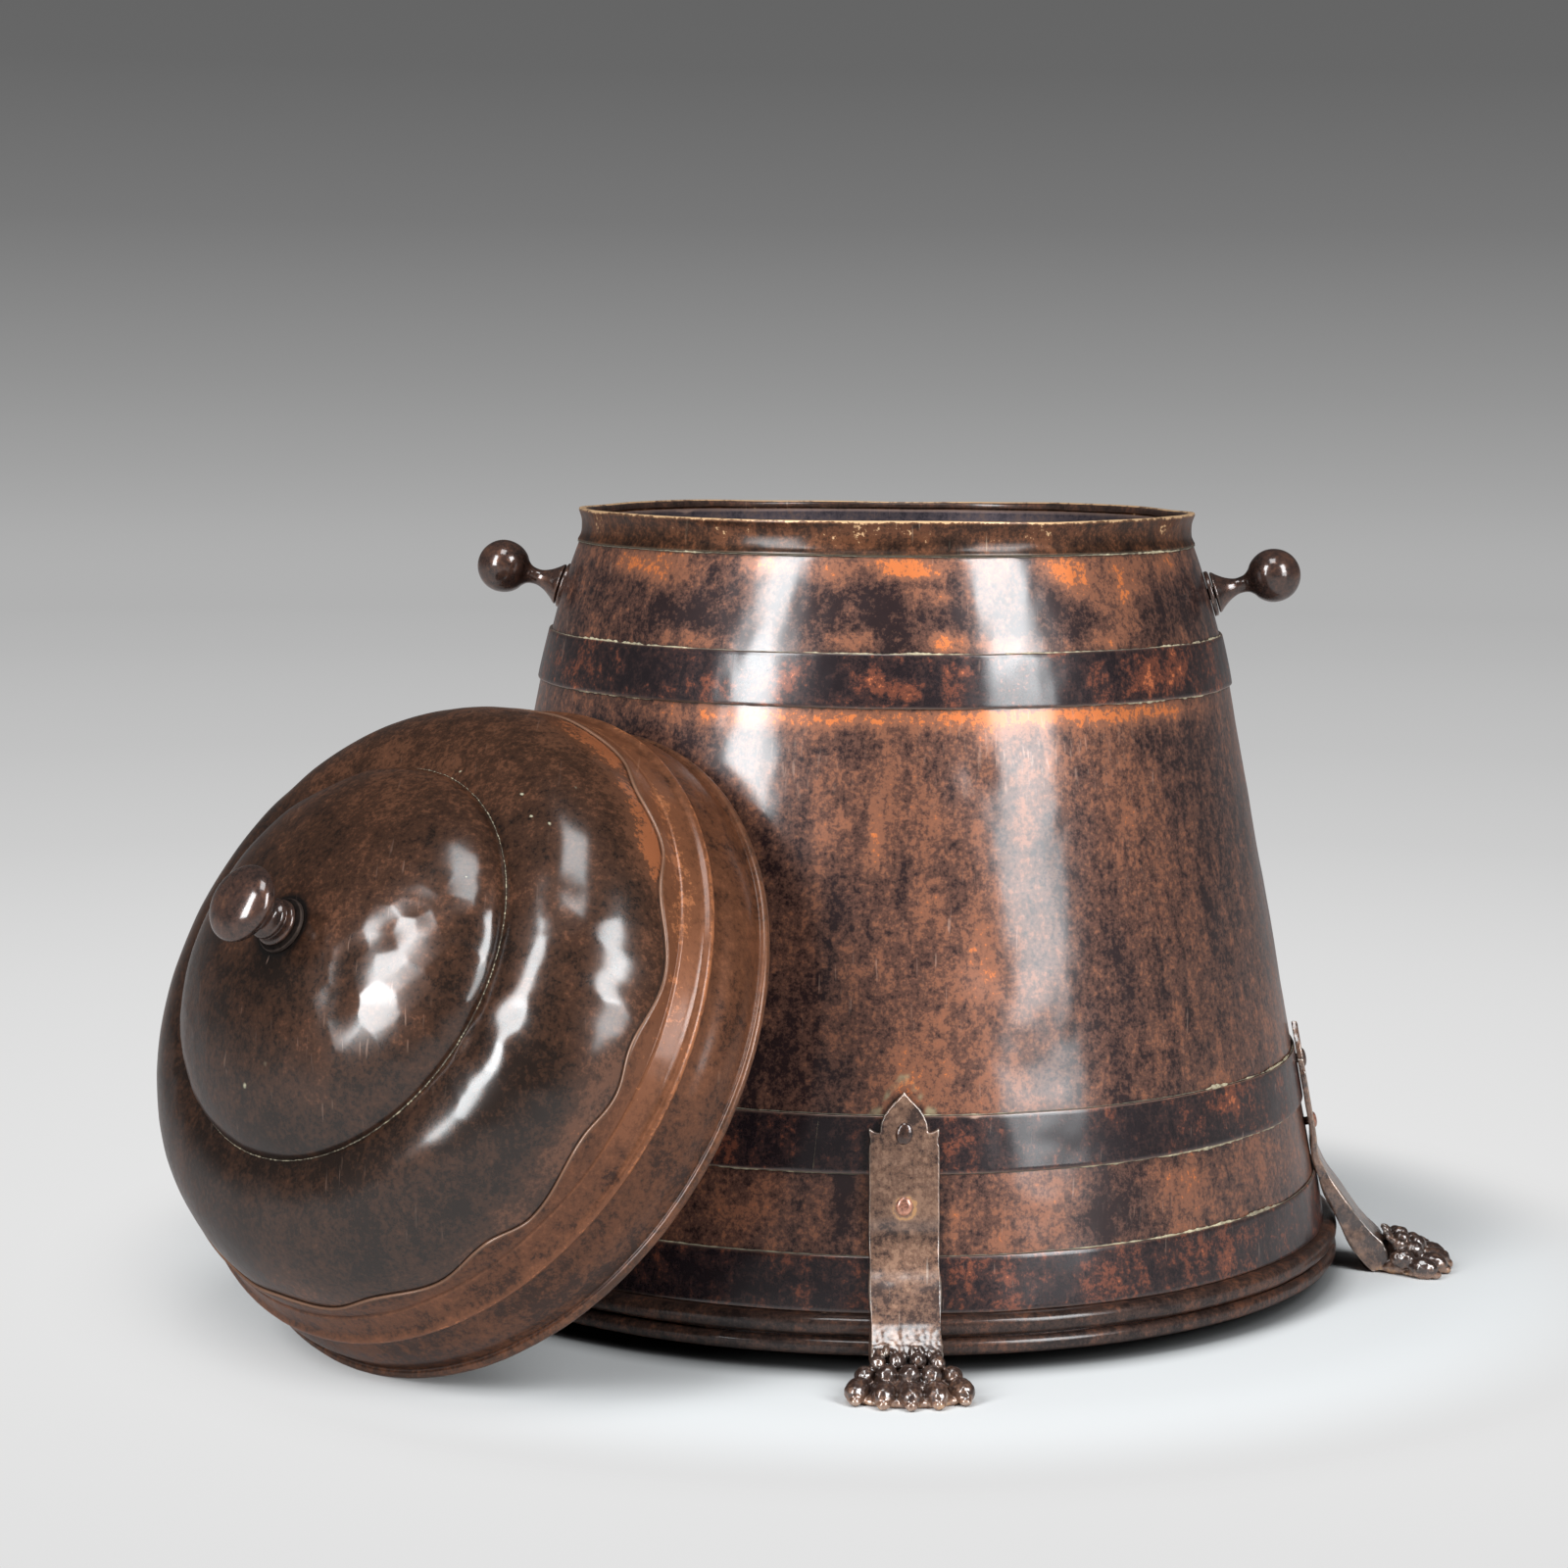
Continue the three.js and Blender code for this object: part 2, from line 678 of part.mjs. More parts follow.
// Outside of the bin at a height, with its bands and hoop.
function skinRadius(z) {
  const banded = [bottomBand, lowerBand, upperBand].some((b) => z > b.low - 1 && z < b.high + 1);
  if (z < bottomBand.low) return hoopRadius;
  if (z > neckSeamHeight) return rimRadius;
  return wallRadius(z) + (banded ? bandStand : 0);
}

// The lid stands on its lowest point, and its edge comes to leanGap from the bin's side.
function lidPlace() {
  const edge = rollArc(rollRadius);
  const lowest = Math.min(...edge.map(([r, h]) => h * Math.sin(tilt) - r * Math.cos(tilt)));
  const stand = radians(lidStandAzimuth);
  const at = (reach) => new THREE.Vector3(
    reach * Math.cos(stand),
    reach * Math.sin(stand),
    floorHeight - lowest,
  );
  const clearance = (reach) => {
    let least = Infinity;
    for (let i = 0; i < lidSides; i += 1) {
      const angle = (2 * Math.PI * i) / lidSides;
      for (const [r, h] of edge) {
        const p = at(reach)
          .addScaledVector(lidAcross, r * Math.cos(angle))
          .addScaledVector(lidUp, r * Math.sin(angle))
          .addScaledVector(lidAxis, h);
        least = Math.min(least, Math.hypot(p.x, p.y) - skinRadius(p.z));
      }
    }
    return least * Math.cos(wallLift(0));
  };
  let near = 0;
  let far = 4 * footRadius;
  for (let i = 0; i < 40; i += 1) {
    const middle = (near + far) / 2;
    if (clearance(middle) > leanGap) far = middle;
    else near = middle;
  }
  return at(far);
}

// ---- materials and assembly ---------------------------------------------------------------------

function metal(color, roughness) {
  return new THREE.MeshStandardMaterial({ color, roughness, metalness: 0.9 });
}

const darkCopper = metal(0x5c3a2e, 0.42);
const bandCopper = metal(0x48302c, 0.38);
const lidCopper = metal(0x4f342a, 0.36);
const legBrass = metal(0x7a5c40, 0.45);
const rivetCopper = metal(0x9a5a3c, 0.35);
const turnedBronze = metal(0x3f2c26, 0.3);
const blackened = metal(0x2a2422, 0.55);

function piece(name, geometry, material) {
  const mesh = new THREE.Mesh(geometry, material);
  mesh.name = name;
  return mesh;
}

const scuttle = new THREE.Group();
const half = seat / 2; // each side of a joint
const bodyHeights = [
  lowerJointHeight + half,
  coneTopHeight,
  (coneTopHeight + upperJointHeight) / 2,
  upperJointHeight - half,
];
const lowerHeights = [panSheet + seat, lowerJointHeight - half];
const shoulderHeights = levels(upperJointHeight + half, neckSeamHeight - half, 3);
const lowerCourse = wallShell(lowerHeights, 0, -courseSheet);
const bodyWall = wallShell(bodyHeights, 0, -courseSheet);
const shoulder = wallShell(shoulderHeights, 0, -courseSheet);

scuttle.add(
  piece('base_pan', panGeometry(), bandCopper),
  piece('base_hoop', hoopGeometry(), bandCopper),
  piece('lower_course', drilled(lowerCourse, rivetHoles(rivetHeights.lower)), darkCopper),
  piece('body_wall', drilled(bodyWall, rivetHoles(rivetHeights.upper)), darkCopper),
  piece('shoulder_course', drilled(shoulder, Object.values(handleAzimuths).map(handleHole)), darkCopper),
  piece('neck_collar', collarGeometry(), darkCopper),
  piece('bottom_band', bandGeometry(bottomBand, 1), bandCopper),
  piece('lower_band', drilled(bandGeometry(lowerBand, 1), rivetHoles(rivetHeights.upper)), bandCopper),
  piece('upper_band', bandGeometry(upperBand, 2), bandCopper),
);

const leg = legSolid();
for (const [side, azimuth] of Object.entries(legAzimuths)) {
  const placed = toGeometry(leg).rotateZ(radians(azimuth));
  const holes = Object.values(rivetHeights).map((z) => rivetHole(azimuth, z));
  scuttle.add(piece(`leg_${side}`, drilled(placed, holes), legBrass));
  for (const [place, z] of Object.entries(rivetHeights)) {
    scuttle.add(piece(`leg_rivet_${side}_${place}`, rivetGeometry(azimuth, z), rivetCopper));
  }
}

for (const [side, azimuth] of Object.entries(handleAzimuths)) {
  scuttle.add(piece(`handle_${side}`, handleGeometry(azimuth), turnedBronze));
  scuttle.add(piece(`handle_washer_${side}`, handleWasherGeometry(azimuth), blackened));
}

const lid = new THREE.Group();
lid.add(
  piece('lid_crown', crownGeometry(), lidCopper),
  piece('lid_dome', domeGeometry(), lidCopper),
  piece('lid_skirt', ring(skirtSection, lidSides), lidCopper),
  piece('lid_rim_wire', wireGeometry(), blackened),
  piece('lid_knob', knobGeometry(), turnedBronze),
  piece('lid_knob_washer', knobWasherGeometry(), blackened),
);
lid.quaternion.setFromRotationMatrix(new THREE.Matrix4().makeBasis(lidAcross, lidUp, lidAxis));
lid.position.copy(lidPlace());
scuttle.add(lid);

export default scuttle;
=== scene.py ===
import math

import bmesh
import bpy
import numpy as np
from mathutils import Matrix, Vector, noise


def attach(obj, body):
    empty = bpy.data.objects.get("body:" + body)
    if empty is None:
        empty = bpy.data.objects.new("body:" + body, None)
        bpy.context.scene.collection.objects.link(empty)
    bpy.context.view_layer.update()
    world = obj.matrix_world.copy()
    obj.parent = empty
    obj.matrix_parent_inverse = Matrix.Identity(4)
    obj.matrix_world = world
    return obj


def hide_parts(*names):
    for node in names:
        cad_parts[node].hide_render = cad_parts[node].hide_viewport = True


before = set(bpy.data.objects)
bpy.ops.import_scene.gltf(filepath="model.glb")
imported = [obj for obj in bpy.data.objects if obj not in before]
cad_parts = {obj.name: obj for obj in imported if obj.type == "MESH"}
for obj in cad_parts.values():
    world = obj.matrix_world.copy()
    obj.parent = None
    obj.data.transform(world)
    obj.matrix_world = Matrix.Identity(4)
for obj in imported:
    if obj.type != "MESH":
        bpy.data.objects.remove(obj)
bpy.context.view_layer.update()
mm = 0.001


# shaping: outlines are of (r, z) in mm, and most pieces are spun from one
def rounded(outline, radius, steps=3):
    # an outline of (r, z) or (r, z, ownRadius) with each corner turned into a short curve
    made = []
    count = len(outline)
    for i, corner in enumerate(outline):
        here = Vector(corner[:2])
        before = Vector(outline[i - 1][:2]) - here
        after = Vector(outline[(i + 1) % count][:2]) - here
        size = corner[2] if len(corner) > 2 else radius
        reach = min(size, before.length * 0.45, after.length * 0.45)  # leaves a little of each edge straight
        if reach < 0.03:  # too small to see
            made.append(here)
            continue
        start = here + before.normalized() * reach
        end = here + after.normalized() * reach
        for k in range(steps + 1):
            t = k / steps
            made.append(start * (1 - t) ** 2 + here * 2 * t * (1 - t) + end * t * t)
    return made


def divided(outline, gap):
    # adds points so that no edge is longer than gap, or than gap(point) where it changes
    made = []
    for i, start in enumerate(outline):
        end = outline[(i + 1) % len(outline)]
        step = gap(start, end) if callable(gap) else gap
        parts = max(1, math.ceil((end - start).length / step))
        made += [start.lerp(end, k / parts) for k in range(parts)]
    return made


def smoothLine(points, parts):
    # an open run through the points, with soft bends
    made = []
    last = len(points) - 1
    for i in range(last):
        a, b, c, d = (Vector(points[min(max(i + k, 0), last)]) for k in (-1, 0, 1, 2))
        for k in range(parts):
            t = k / parts
            made.append(0.5 * (2 * b + (c - a) * t + (2 * a - 5 * b + 4 * c - d) * t * t
                               + (3 * b - a - 3 * c + d) * t ** 3))
    made.append(Vector(points[last]))
    return made


def bezier(a, b, c, d, parts):
    a, b, c, d = map(Vector, (a, b, c, d))
    return [a * (1 - t) ** 3 + b * 3 * t * (1 - t) ** 2 + c * 3 * t * t * (1 - t) + d * t ** 3
            for t in (k / parts for k in range(parts + 1))]


def offset(line, out):
    # moves an open line sideways; for a line that runs up and inwards, positive is outwards
    made = []
    for i, point in enumerate(line):
        along = line[min(i + 1, len(line) - 1)] - line[max(i - 1, 0)]
        along.normalize()
        made.append(point + Vector((along.y, -along.x)) * out)
    return made


chance = np.random.RandomState(11)
shuffle = chance.permutation(256)
slopes = chance.normal(size=(256, 3))
slopes /= np.linalg.norm(slopes, axis=1)[:, None]


def softNoise(x, y, z):
    # smooth noise of about -1 to 1 at whole arrays of points
    x, y, z = np.broadcast_arrays(x, y, z)
    cells = [np.floor(v).astype(int) for v in (x, y, z)]
    inside = [v - c for v, c in zip((x, y, z), cells)]
    ease = [v * v * v * (v * (v * 6 - 15) + 10) for v in inside]
    total = np.zeros(x.shape)
    for corner in np.ndindex(2, 2, 2):
        index, weight = 0, 1.0
        for k in range(3):
            index = shuffle[(index + cells[k] + corner[k]) & 255]
            weight = weight * (ease[k] if corner[k] else 1 - ease[k])
        total += weight * sum(slopes[index, k] * (inside[k] - corner[k]) for k in range(3))
    return total * 1.5


def hammerCells(x, y):
    # distance to the nearest of scattered hammer blows, about one to each unit square
    nearest = np.full(x.shape, 9.0)
    for dx in (-1, 0, 1):
        for dy in (-1, 0, 1):
            column, row = np.floor(x).astype(int) + dx, np.floor(y).astype(int) + dy
            spot = shuffle[(shuffle[column & 255] + row) & 255]
            away = (column + spot / 256 - x) ** 2 + (row + shuffle[spot] / 256 - y) ** 2
            nearest = np.minimum(nearest, away)
    return np.sqrt(nearest)


def wobble(angle, z, scale, seed):
    # smooth noise round a turned surface
    return softNoise(np.cos(angle) * scale[0] + seed, np.sin(angle) * scale[0] + seed * 0.7, z * scale[1] + 0.37)


def bump(distance, width):
    return np.exp(-(distance / width) ** 2)


def paint(mesh, weights):
    # stores a value for each point under each name, for the finishes to read
    for key, values in weights.items():
        layer = mesh.attributes.new(key, "FLOAT", "POINT")
        layer.data.foreach_set("value", np.asarray(values, dtype=np.float32).ravel())


def added(name, data):
    made = bpy.data.objects.new(name, data)
    bpy.context.scene.collection.objects.link(made)
    return made


def meshPiece(name, points, faces, weights=None):
    mesh = bpy.data.meshes.new(name)
    mesh.from_pydata(np.asarray(points).reshape(-1, 3).tolist(), [], np.asarray(faces).reshape(-1, 4).tolist())
    paint(mesh, weights or {})
    work = bmesh.new()
    work.from_mesh(mesh)
    bmesh.ops.remove_doubles(work, verts=work.verts, dist=1e-6)
    bmesh.ops.recalc_face_normals(work, faces=work.faces)
    work.to_mesh(mesh)
    work.free()
    mesh.shade_smooth()
    return added(name, mesh)


def ringFaces(sides, count):
    i, j = np.meshgrid(np.arange(sides), np.arange(count), indexing="ij")
    n, k = (i + 1) % sides, (j + 1) % count
    return np.stack((i * count + j, n * count + j, n * count + k, i * count + k), -1)


def turnsOf(count):
    # equal steps once round
    return np.arange(count) * (2 * math.pi / count)


def arc(degrees, radius, r=0.0, z=0.0, tall=None):
    # points of a circle, or of an oval, in an outline; degrees from the outside towards +Z
    return [(r + radius * math.cos(math.radians(a)), z + (tall or radius) * math.sin(math.radians(a)))
            for a in degrees]


def spun(name, angle, r, z, weights=None):
    points = np.stack((r * np.cos(angle), r * np.sin(angle), z), -1) * mm
    return meshPiece(name, points, ringFaces(*r.shape), weights)


def turned(name, outline, sides, shape=None, wear=None):
    # spins a closed outline; shape moves each point and wear gives its paint
    angle, r, z = np.broadcast_arrays(turnsOf(sides)[:, None], *(np.array([[p[k] for p in outline]]) for k in (0, 1)))
    weights = {key: how(angle, r, z) for key, how in (wear or {}).items()}
    if shape:
        r, z = shape(angle, r, z)
    return spun(name, angle, r, z, weights)


def bead(name, angle, r, z, thick, wear=None):
    # a closed run of solder with its radius changing along it
    turn = turnsOf(7)[None, :]
    angle, r, z, thick, turn = np.broadcast_arrays(angle[:, None], r[:, None], z[:, None], thick[:, None], turn)
    rough = 1 + 0.35 * softNoise(angle * r * 0.4, turn * 1.3, r * 0.1)
    weights = {key: how(angle, r, z) for key, how in (wear or {}).items()}
    size = thick * rough
    return spun(name, angle, r + 0.75 * size * np.cos(turn), z + 1.15 * size * np.sin(turn), weights)


def finished(piece, material, body, slot, *nodes):
    piece.data.materials.clear()
    piece.data.materials.append(material)
    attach(piece, body)
    if nodes:
        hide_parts(*nodes)
    return piece


# finishes
def addNode(tree, kind, settings=None, values=None):
    made = tree.nodes.new("ShaderNode" + kind)
    for key, value in (settings or {}).items():
        setattr(made, key, value)
    for key, value in (values or {}).items():
        if isinstance(value, bpy.types.NodeSocket):
            tree.links.new(value, made.inputs[key])
        else:
            made.inputs[key].default_value = value
    return made


def maths(tree, operation, *values):
    made = addNode(tree, "Math", {"operation": operation}, dict(enumerate(values)))
    return made.outputs[0]


def between(tree, value, low, high, start=0.0, end=1.0):
    made = addNode(tree, "MapRange", {"interpolation_type": "SMOOTHSTEP"},
                   {"Value": value, "From Min": low, "From Max": high, "To Min": start, "To Max": end})
    return made.outputs["Result"]


def blended(tree, factor, first, second):
    made = addNode(tree, "Mix", {"data_type": "RGBA"}, {0: factor})
    for socket, value in ((6, first), (7, second)):
        if isinstance(value, bpy.types.NodeSocket):
            tree.links.new(value, made.inputs[socket])
        else:
            made.inputs[socket].default_value = (*value, 1)
    return made.outputs[2]


def speckle(tree, place, scale, detail, rough, twist=0.0, stretch=None, turn=(0, 0, 0)):
    if stretch:
        place = addNode(tree, "Mapping", None,
                        {"Vector": place, "Scale": stretch, "Rotation": turn}).outputs[0]
    made = addNode(tree, "TexNoise", None, {"Vector": place, "Scale": scale, "Detail": detail,
                                            "Roughness": rough, "Distortion": twist})
    return made.outputs["Fac"]


def painted(tree, key):
    return addNode(tree, "Attribute", {"attribute_name": key}).outputs["Fac"]


patterns = {  # detail, roughness, distortion and stretch of each noise; its size is in the look
    "clouds": (8.0, 0.68, 0.4), "mottle": (8.0, 0.76, 0.2), "grain": (5.0, 0.75),
    "streaks": (6.0, 0.7, 0.0, (1, 1, 0.09)),
}
wearSteps = {"brown": (-0.17, 0.02), "warm": (0.01, 0.17), "bright": (0.25, 0.32)}  # over the dark skin
scratchRuns = (  # turn and stretch of each
    ((0.3, 0.5, 0.2), (90, 1.5, 9)), ((1.1, 0.2, 0.9), (70, 1.2, 7)), ((0.0, 0.9, 1.9), (80, 2, 6)),
)


def patina(name, look):
    # old copper: a dark skin, brown where it is thin and orange where it is rubbed through
    made = bpy.data.materials.new(name)
    made.use_nodes = True
    tree = made.node_tree
    tree.nodes.clear()
    out = addNode(tree, "OutputMaterial")
    shader = addNode(tree, "BsdfPrincipled", None, {
        "Metallic": look["metallic"], "Coat Weight": look["coat"], "Coat Roughness": look["coatRoughness"],
        "Coat IOR": look["coatIor"], "Specular IOR Level": look["gloss"], "Specular Tint": look["sheen"]})
    place = addNode(tree, "TexCoord").outputs["Object"]
    noises = {key: speckle(tree, place, look[key], *detail) for key, detail in patterns.items()}
    clouds, mottle, grain = noises["clouds"], noises["mottle"], noises["grain"]
    wornAndLit = painted(tree, "wearAndLight")
    dirtAndShadeWeight = painted(tree, "dirtAndShadeWeight")
    for key, pattern in noises.items():
        wornAndLit = maths(tree, "MULTIPLY_ADD", maths(tree, "SUBTRACT", pattern, 0.5), look[key + "Share"], wornAndLit)
    colour = look["dark"]
    for key, (low, high) in wearSteps.items():
        colour = blended(tree, between(tree, wornAndLit, low, high), colour, look[key])
    # painted shade in the hollows, joined to the dirt and shade weights; worn polish with a painted highlight on the
    # edges
    edges = addNode(tree, "NewGeometry").outputs["Pointiness"]
    # hollows found by low pointiness get painted shade
    hollow = maths(tree, "MULTIPLY", between(tree, edges, 0.40, 0.485, 1.0, 0.0), look["hollow"])
    dirtAndShade = maths(tree, "MAXIMUM", between(tree, dirtAndShadeWeight, 0.15, 0.85), hollow)
    colour = blended(tree, dirtAndShade, colour, look["dirtAndShade"])
    # edges painted pale: worn polish and a painted highlight
    polishedAndGlinting = maths(tree, "MULTIPLY", between(tree, edges, 0.515, 0.6), look["edge"])
    colour = blended(tree, polishedAndGlinting, colour, look["polishAndGlint"])
    # long scratches in three directions, and brushed marks where scuffed; the scuffed places lie where the wall's
    # highlights fall, so these pale marks are wear with painted sheen
    scratchAndSheen = None
    for turn, stretch in scratchRuns:
        line = between(tree, speckle(tree, place, 7.0, 1.0, 0.4, 0.0, stretch, turn), 0.74, 0.8)
        scratchAndSheen = line if scratchAndSheen is None else maths(tree, "MAXIMUM", scratchAndSheen, line)
    scratchAndSheen = maths(tree, "MULTIPLY", scratchAndSheen, between(tree, clouds, 0.45, 0.7, 0.0, look["scratches"]))
    scuffAndSheen = painted(tree, "scuffAndSheen")
    brush = speckle(tree, place, 560.0, 3.0, 0.5, 0.0, (1, 1, 0.045), (0.12, 0.1, 0))
    brushed = between(tree, brush, 0.56, 0.72, 0.0, 0.5)
    scratchAndSheen = maths(tree, "MAXIMUM", scratchAndSheen, maths(tree, "MULTIPLY", brushed, scuffAndSheen))
    colour = blended(tree, scratchAndSheen, colour, look["polishAndGlint"])
    pale = maths(tree, "MULTIPLY_ADD", mottle, 0.5, painted(tree, "pale"))
    colour = blended(tree, between(tree, pale, 0.42, 0.8), colour, look["crust"])
    tree.links.new(colour, shader.inputs["Base Color"])
    rough = between(tree, maths(tree, "MULTIPLY_ADD", dirtAndShade, 0.5, mottle), 0.3, 0.8, *look["roughness"])
    tree.links.new(rough, shader.inputs["Roughness"])
    height = maths(tree, "ADD", maths(tree, "MULTIPLY", grain, look["pits"]),
                   maths(tree, "MULTIPLY", mottle, look["lumps"]))
    height = maths(tree, "SUBTRACT", height, maths(tree, "MULTIPLY", scratchAndSheen, 0.3))
    relief = addNode(tree, "Bump", None, {"Strength": 1.0, "Distance": look["relief"] * mm, "Height": height})
    tree.links.new(relief.outputs[0], shader.inputs["Normal"])
    tree.links.new(shader.outputs[0], out.inputs["Surface"])
    return made


wallLook = {
    "dark": (0.022, 0.012, 0.0125), "brown": (0.106, 0.049, 0.035), "warm": (0.245, 0.098, 0.056),
    "bright": (0.58, 0.165, 0.050), "polishAndGlint": (0.66, 0.42, 0.32), "dirtAndShade": (0.010, 0.007, 0.006),
    "crust": (0.30, 0.25, 0.15), "clouds": 9.0, "mottle": 125.0, "grain": 430.0, "streaks": 75.0,
    "cloudsShare": 0.38, "mottleShare": 0.85, "grainShare": 0.85, "streaksShare": 0.6, "metallic": 0.36,
    "coat": 0.265, "coatIor": 2.6, "coatRoughness": 0.18, "gloss": 0.2, "sheen": (0.5, 0.4, 0.38, 1),
    "roughness": (0.36, 0.54), "edge": 0.3, "hollow": 0.5, "scratches": 0.3, "pits": 0.5, "lumps": 0.9,
    "relief": 0.16,
}
looks = {  # what differs from the wall in each finish, under the name of its material
    "wall": ("wallCopper", {}),
    "neck": ("neckCopper", {
        "dark": (0.013, 0.007, 0.005), "brown": (0.046, 0.020, 0.011), "warm": (0.12, 0.045, 0.021),
        "bright": (0.62, 0.38, 0.20), "polishAndGlint": (0.85, 0.66, 0.44), "edge": 0.7, "coat": 0.09}),
    "inside": ("insideCopper", {
        "dark": (0.028, 0.024, 0.030), "brown": (0.060, 0.048, 0.055), "warm": (0.09, 0.062, 0.058),
        "bright": (0.15, 0.085, 0.06), "coat": 0.0, "roughness": (0.45, 0.6)}),
    "band": ("bandCopper", {
        "dark": (0.013, 0.008, 0.010), "brown": (0.036, 0.018, 0.017), "warm": (0.16, 0.050, 0.029),
        "bright": (0.50, 0.14, 0.055), "cloudsShare": 0.4, "mottle": 130.0, "mottleShare": 1.2, "edge": 0.5}),
    "foot": ("footCopper", {
        "dark": (0.016, 0.010, 0.009), "brown": (0.046, 0.025, 0.019), "warm": (0.11, 0.046, 0.028),
        "bright": (0.22, 0.085, 0.043), "coat": 0.155, "lumps": 1.4, "relief": 0.25}),
    "lid": ("lidCopper", {
        "dark": (0.014, 0.0075, 0.0052), "brown": (0.047, 0.0208, 0.0119), "warm": (0.115, 0.047, 0.025),
        "bright": (0.32, 0.105, 0.042), "crust": (0.46, 0.43, 0.30), "clouds": 11.0, "cloudsShare": 0.55,
        "mottleShare": 0.6, "grainShare": 0.65, "streaksShare": 0.12, "roughness": (0.34, 0.5), "coat": 0.245,
        "coatRoughness": 0.17, "gloss": 0.1, "scratches": 0.2, "relief": 0.2}),
    "skirt": ("skirtCopper", {
        "dark": (0.034, 0.0155, 0.010), "brown": (0.115, 0.044, 0.0215), "warm": (0.168, 0.063, 0.030),
        "bright": (0.34, 0.125, 0.053), "polishAndGlint": (0.62, 0.34, 0.22), "mottleShare": 0.65, "grainShare": 0.6,
        "streaksShare": 0.3, "edge": 0.35, "coat": 0.11, "scratches": 0.2}),
    "leg": ("legBrass", {
        "dark": (0.055, 0.031, 0.025), "brown": (0.19, 0.103, 0.069), "warm": (0.31, 0.175, 0.115),
        "bright": (0.52, 0.28, 0.13), "polishAndGlint": (0.9, 0.78, 0.66), "mottle": 120.0, "mottleShare": 0.7,
        "clouds": 26.0, "cloudsShare": 0.5, "edge": 0.7, "hollow": 0.95, "roughness": (0.3, 0.44), "coat": 0.46,
        "metallic": 0.55, "lumps": 1.6, "relief": 0.2}),
    "rivet": ("rivetCopper", {
        "dark": (0.16, 0.07, 0.05), "brown": (0.46, 0.20, 0.13), "warm": (0.66, 0.31, 0.21),
        "bright": (0.78, 0.42, 0.28), "mottle": 120.0, "edge": 0.5, "roughness": (0.24, 0.36)}),
    "knob": ("knobBronze", {
        "dark": (0.026, 0.017, 0.015), "brown": (0.060, 0.032, 0.025), "warm": (0.11, 0.052, 0.034),
        "bright": (0.18, 0.09, 0.055), "mottle": 90.0, "roughness": (0.24, 0.36), "coatRoughness": 0.12}),
    "solder": ("oldSolder", {
        "dark": (0.17, 0.125, 0.08), "brown": (0.36, 0.29, 0.18), "warm": (0.54, 0.46, 0.29),
        "bright": (0.70, 0.62, 0.42), "polishAndGlint": (0.8, 0.75, 0.58), "dirtAndShade": (0.026, 0.014, 0.010), "clouds": 30.0,
        "mottle": 220.0, "metallic": 0.3, "roughness": (0.4, 0.6), "coat": 0.0, "lumps": 1.5, "relief": 0.25}),
    "black": ("blackenedMetal", {
        "dark": (0.012, 0.010, 0.010), "brown": (0.025, 0.020, 0.018), "warm": (0.045, 0.033, 0.028),
        "bright": (0.08, 0.05, 0.04), "roughness": (0.4, 0.6), "coat": 0.0}),
}
finishes = {key: patina(name, {**wallLook, **changes}) for key, (name, changes) in looks.items()}
print("finishes done")


# the bin's courses and bands
binShape = {
    "footRadius": 229.5, "coneTopRadius": 174.0, "coneTopHeight": 288.3, "seamRadius": 154.7, "seamHeight": 357.0,
    "lowerJoint": 93.0, "upperJoint": 300.6, "sheet": 1.5, "sides": 420,
    "dents": [  # degrees round, height, width and depth in mm
        (-76.8, 258, 9, 0.7), (-75.5, 170, 16, 0.6), (-84, 205, 26, 0.7), (-72, 120, 22, 0.6), (-101, 240, 30, 0.6),
        (-60, 150, 30, 0.5), (-118, 330, 16, 0.5), (-98, 336, 14, 0.5), (-70, 343, 10, 0.5), (-45, 230, 34, 0.7),
        (20, 180, 30, 0.8), (70, 130, 26, 0.8), (120, 210, 34, 0.7), (160, 260, 30, 0.6)],
}
bands = {"bottom": (18.4, 43.4), "lower": (80.0, 106.0), "upper": (288.3, 312.9)}  # lower and upper edge
bandStand = 1.5  # outer face of a band off the wall


def wallRadius(z):
    b = binShape
    taper = (b["footRadius"] - b["coneTopRadius"]) / b["coneTopHeight"]
    rise = b["seamHeight"] - b["coneTopHeight"]
    drawnIn = (b["coneTopRadius"] - taper * rise - b["seamRadius"]) / rise ** 2
    return b["footRadius"] - taper * z - drawnIn * np.maximum(0, z - b["coneTopHeight"]) ** 2


def turnAway(angle, degrees):
    # how far one direction is from another, in radians
    return (angle - math.radians(degrees) + math.pi) % (2 * math.pi) - math.pi


def wallDent(angle, z):
    away = 0.6 * wobble(angle, z, (2.2, 0.012), 3) + 0.3 * wobble(angle, z, (7, 0.03), 11)
    away += 0.09 * wobble(angle, z, (24, 0.09), 5)
    for degrees, height, width, depth in binShape["dents"]:
        across = turnAway(angle, degrees) * wallRadius(height)
        away -= depth * np.exp(-(across ** 2 + (z - height) ** 2) / width ** 2)
    return away


def dented(angle, r, z):
    return r + wallDent(angle, z), z


def spots(angle, z, marks):
    # sum of soft marks: degrees round, height, half widths in mm, strength
    total = 0.0
    for degrees, height, wide, tall, strength in marks:
        across = turnAway(angle, degrees) * wallRadius(min(height, binShape["seamHeight"]))
        total += 0.62 * strength * np.exp(-((across / wide) ** 2 + ((z - height) / tall) ** 2))
    return total


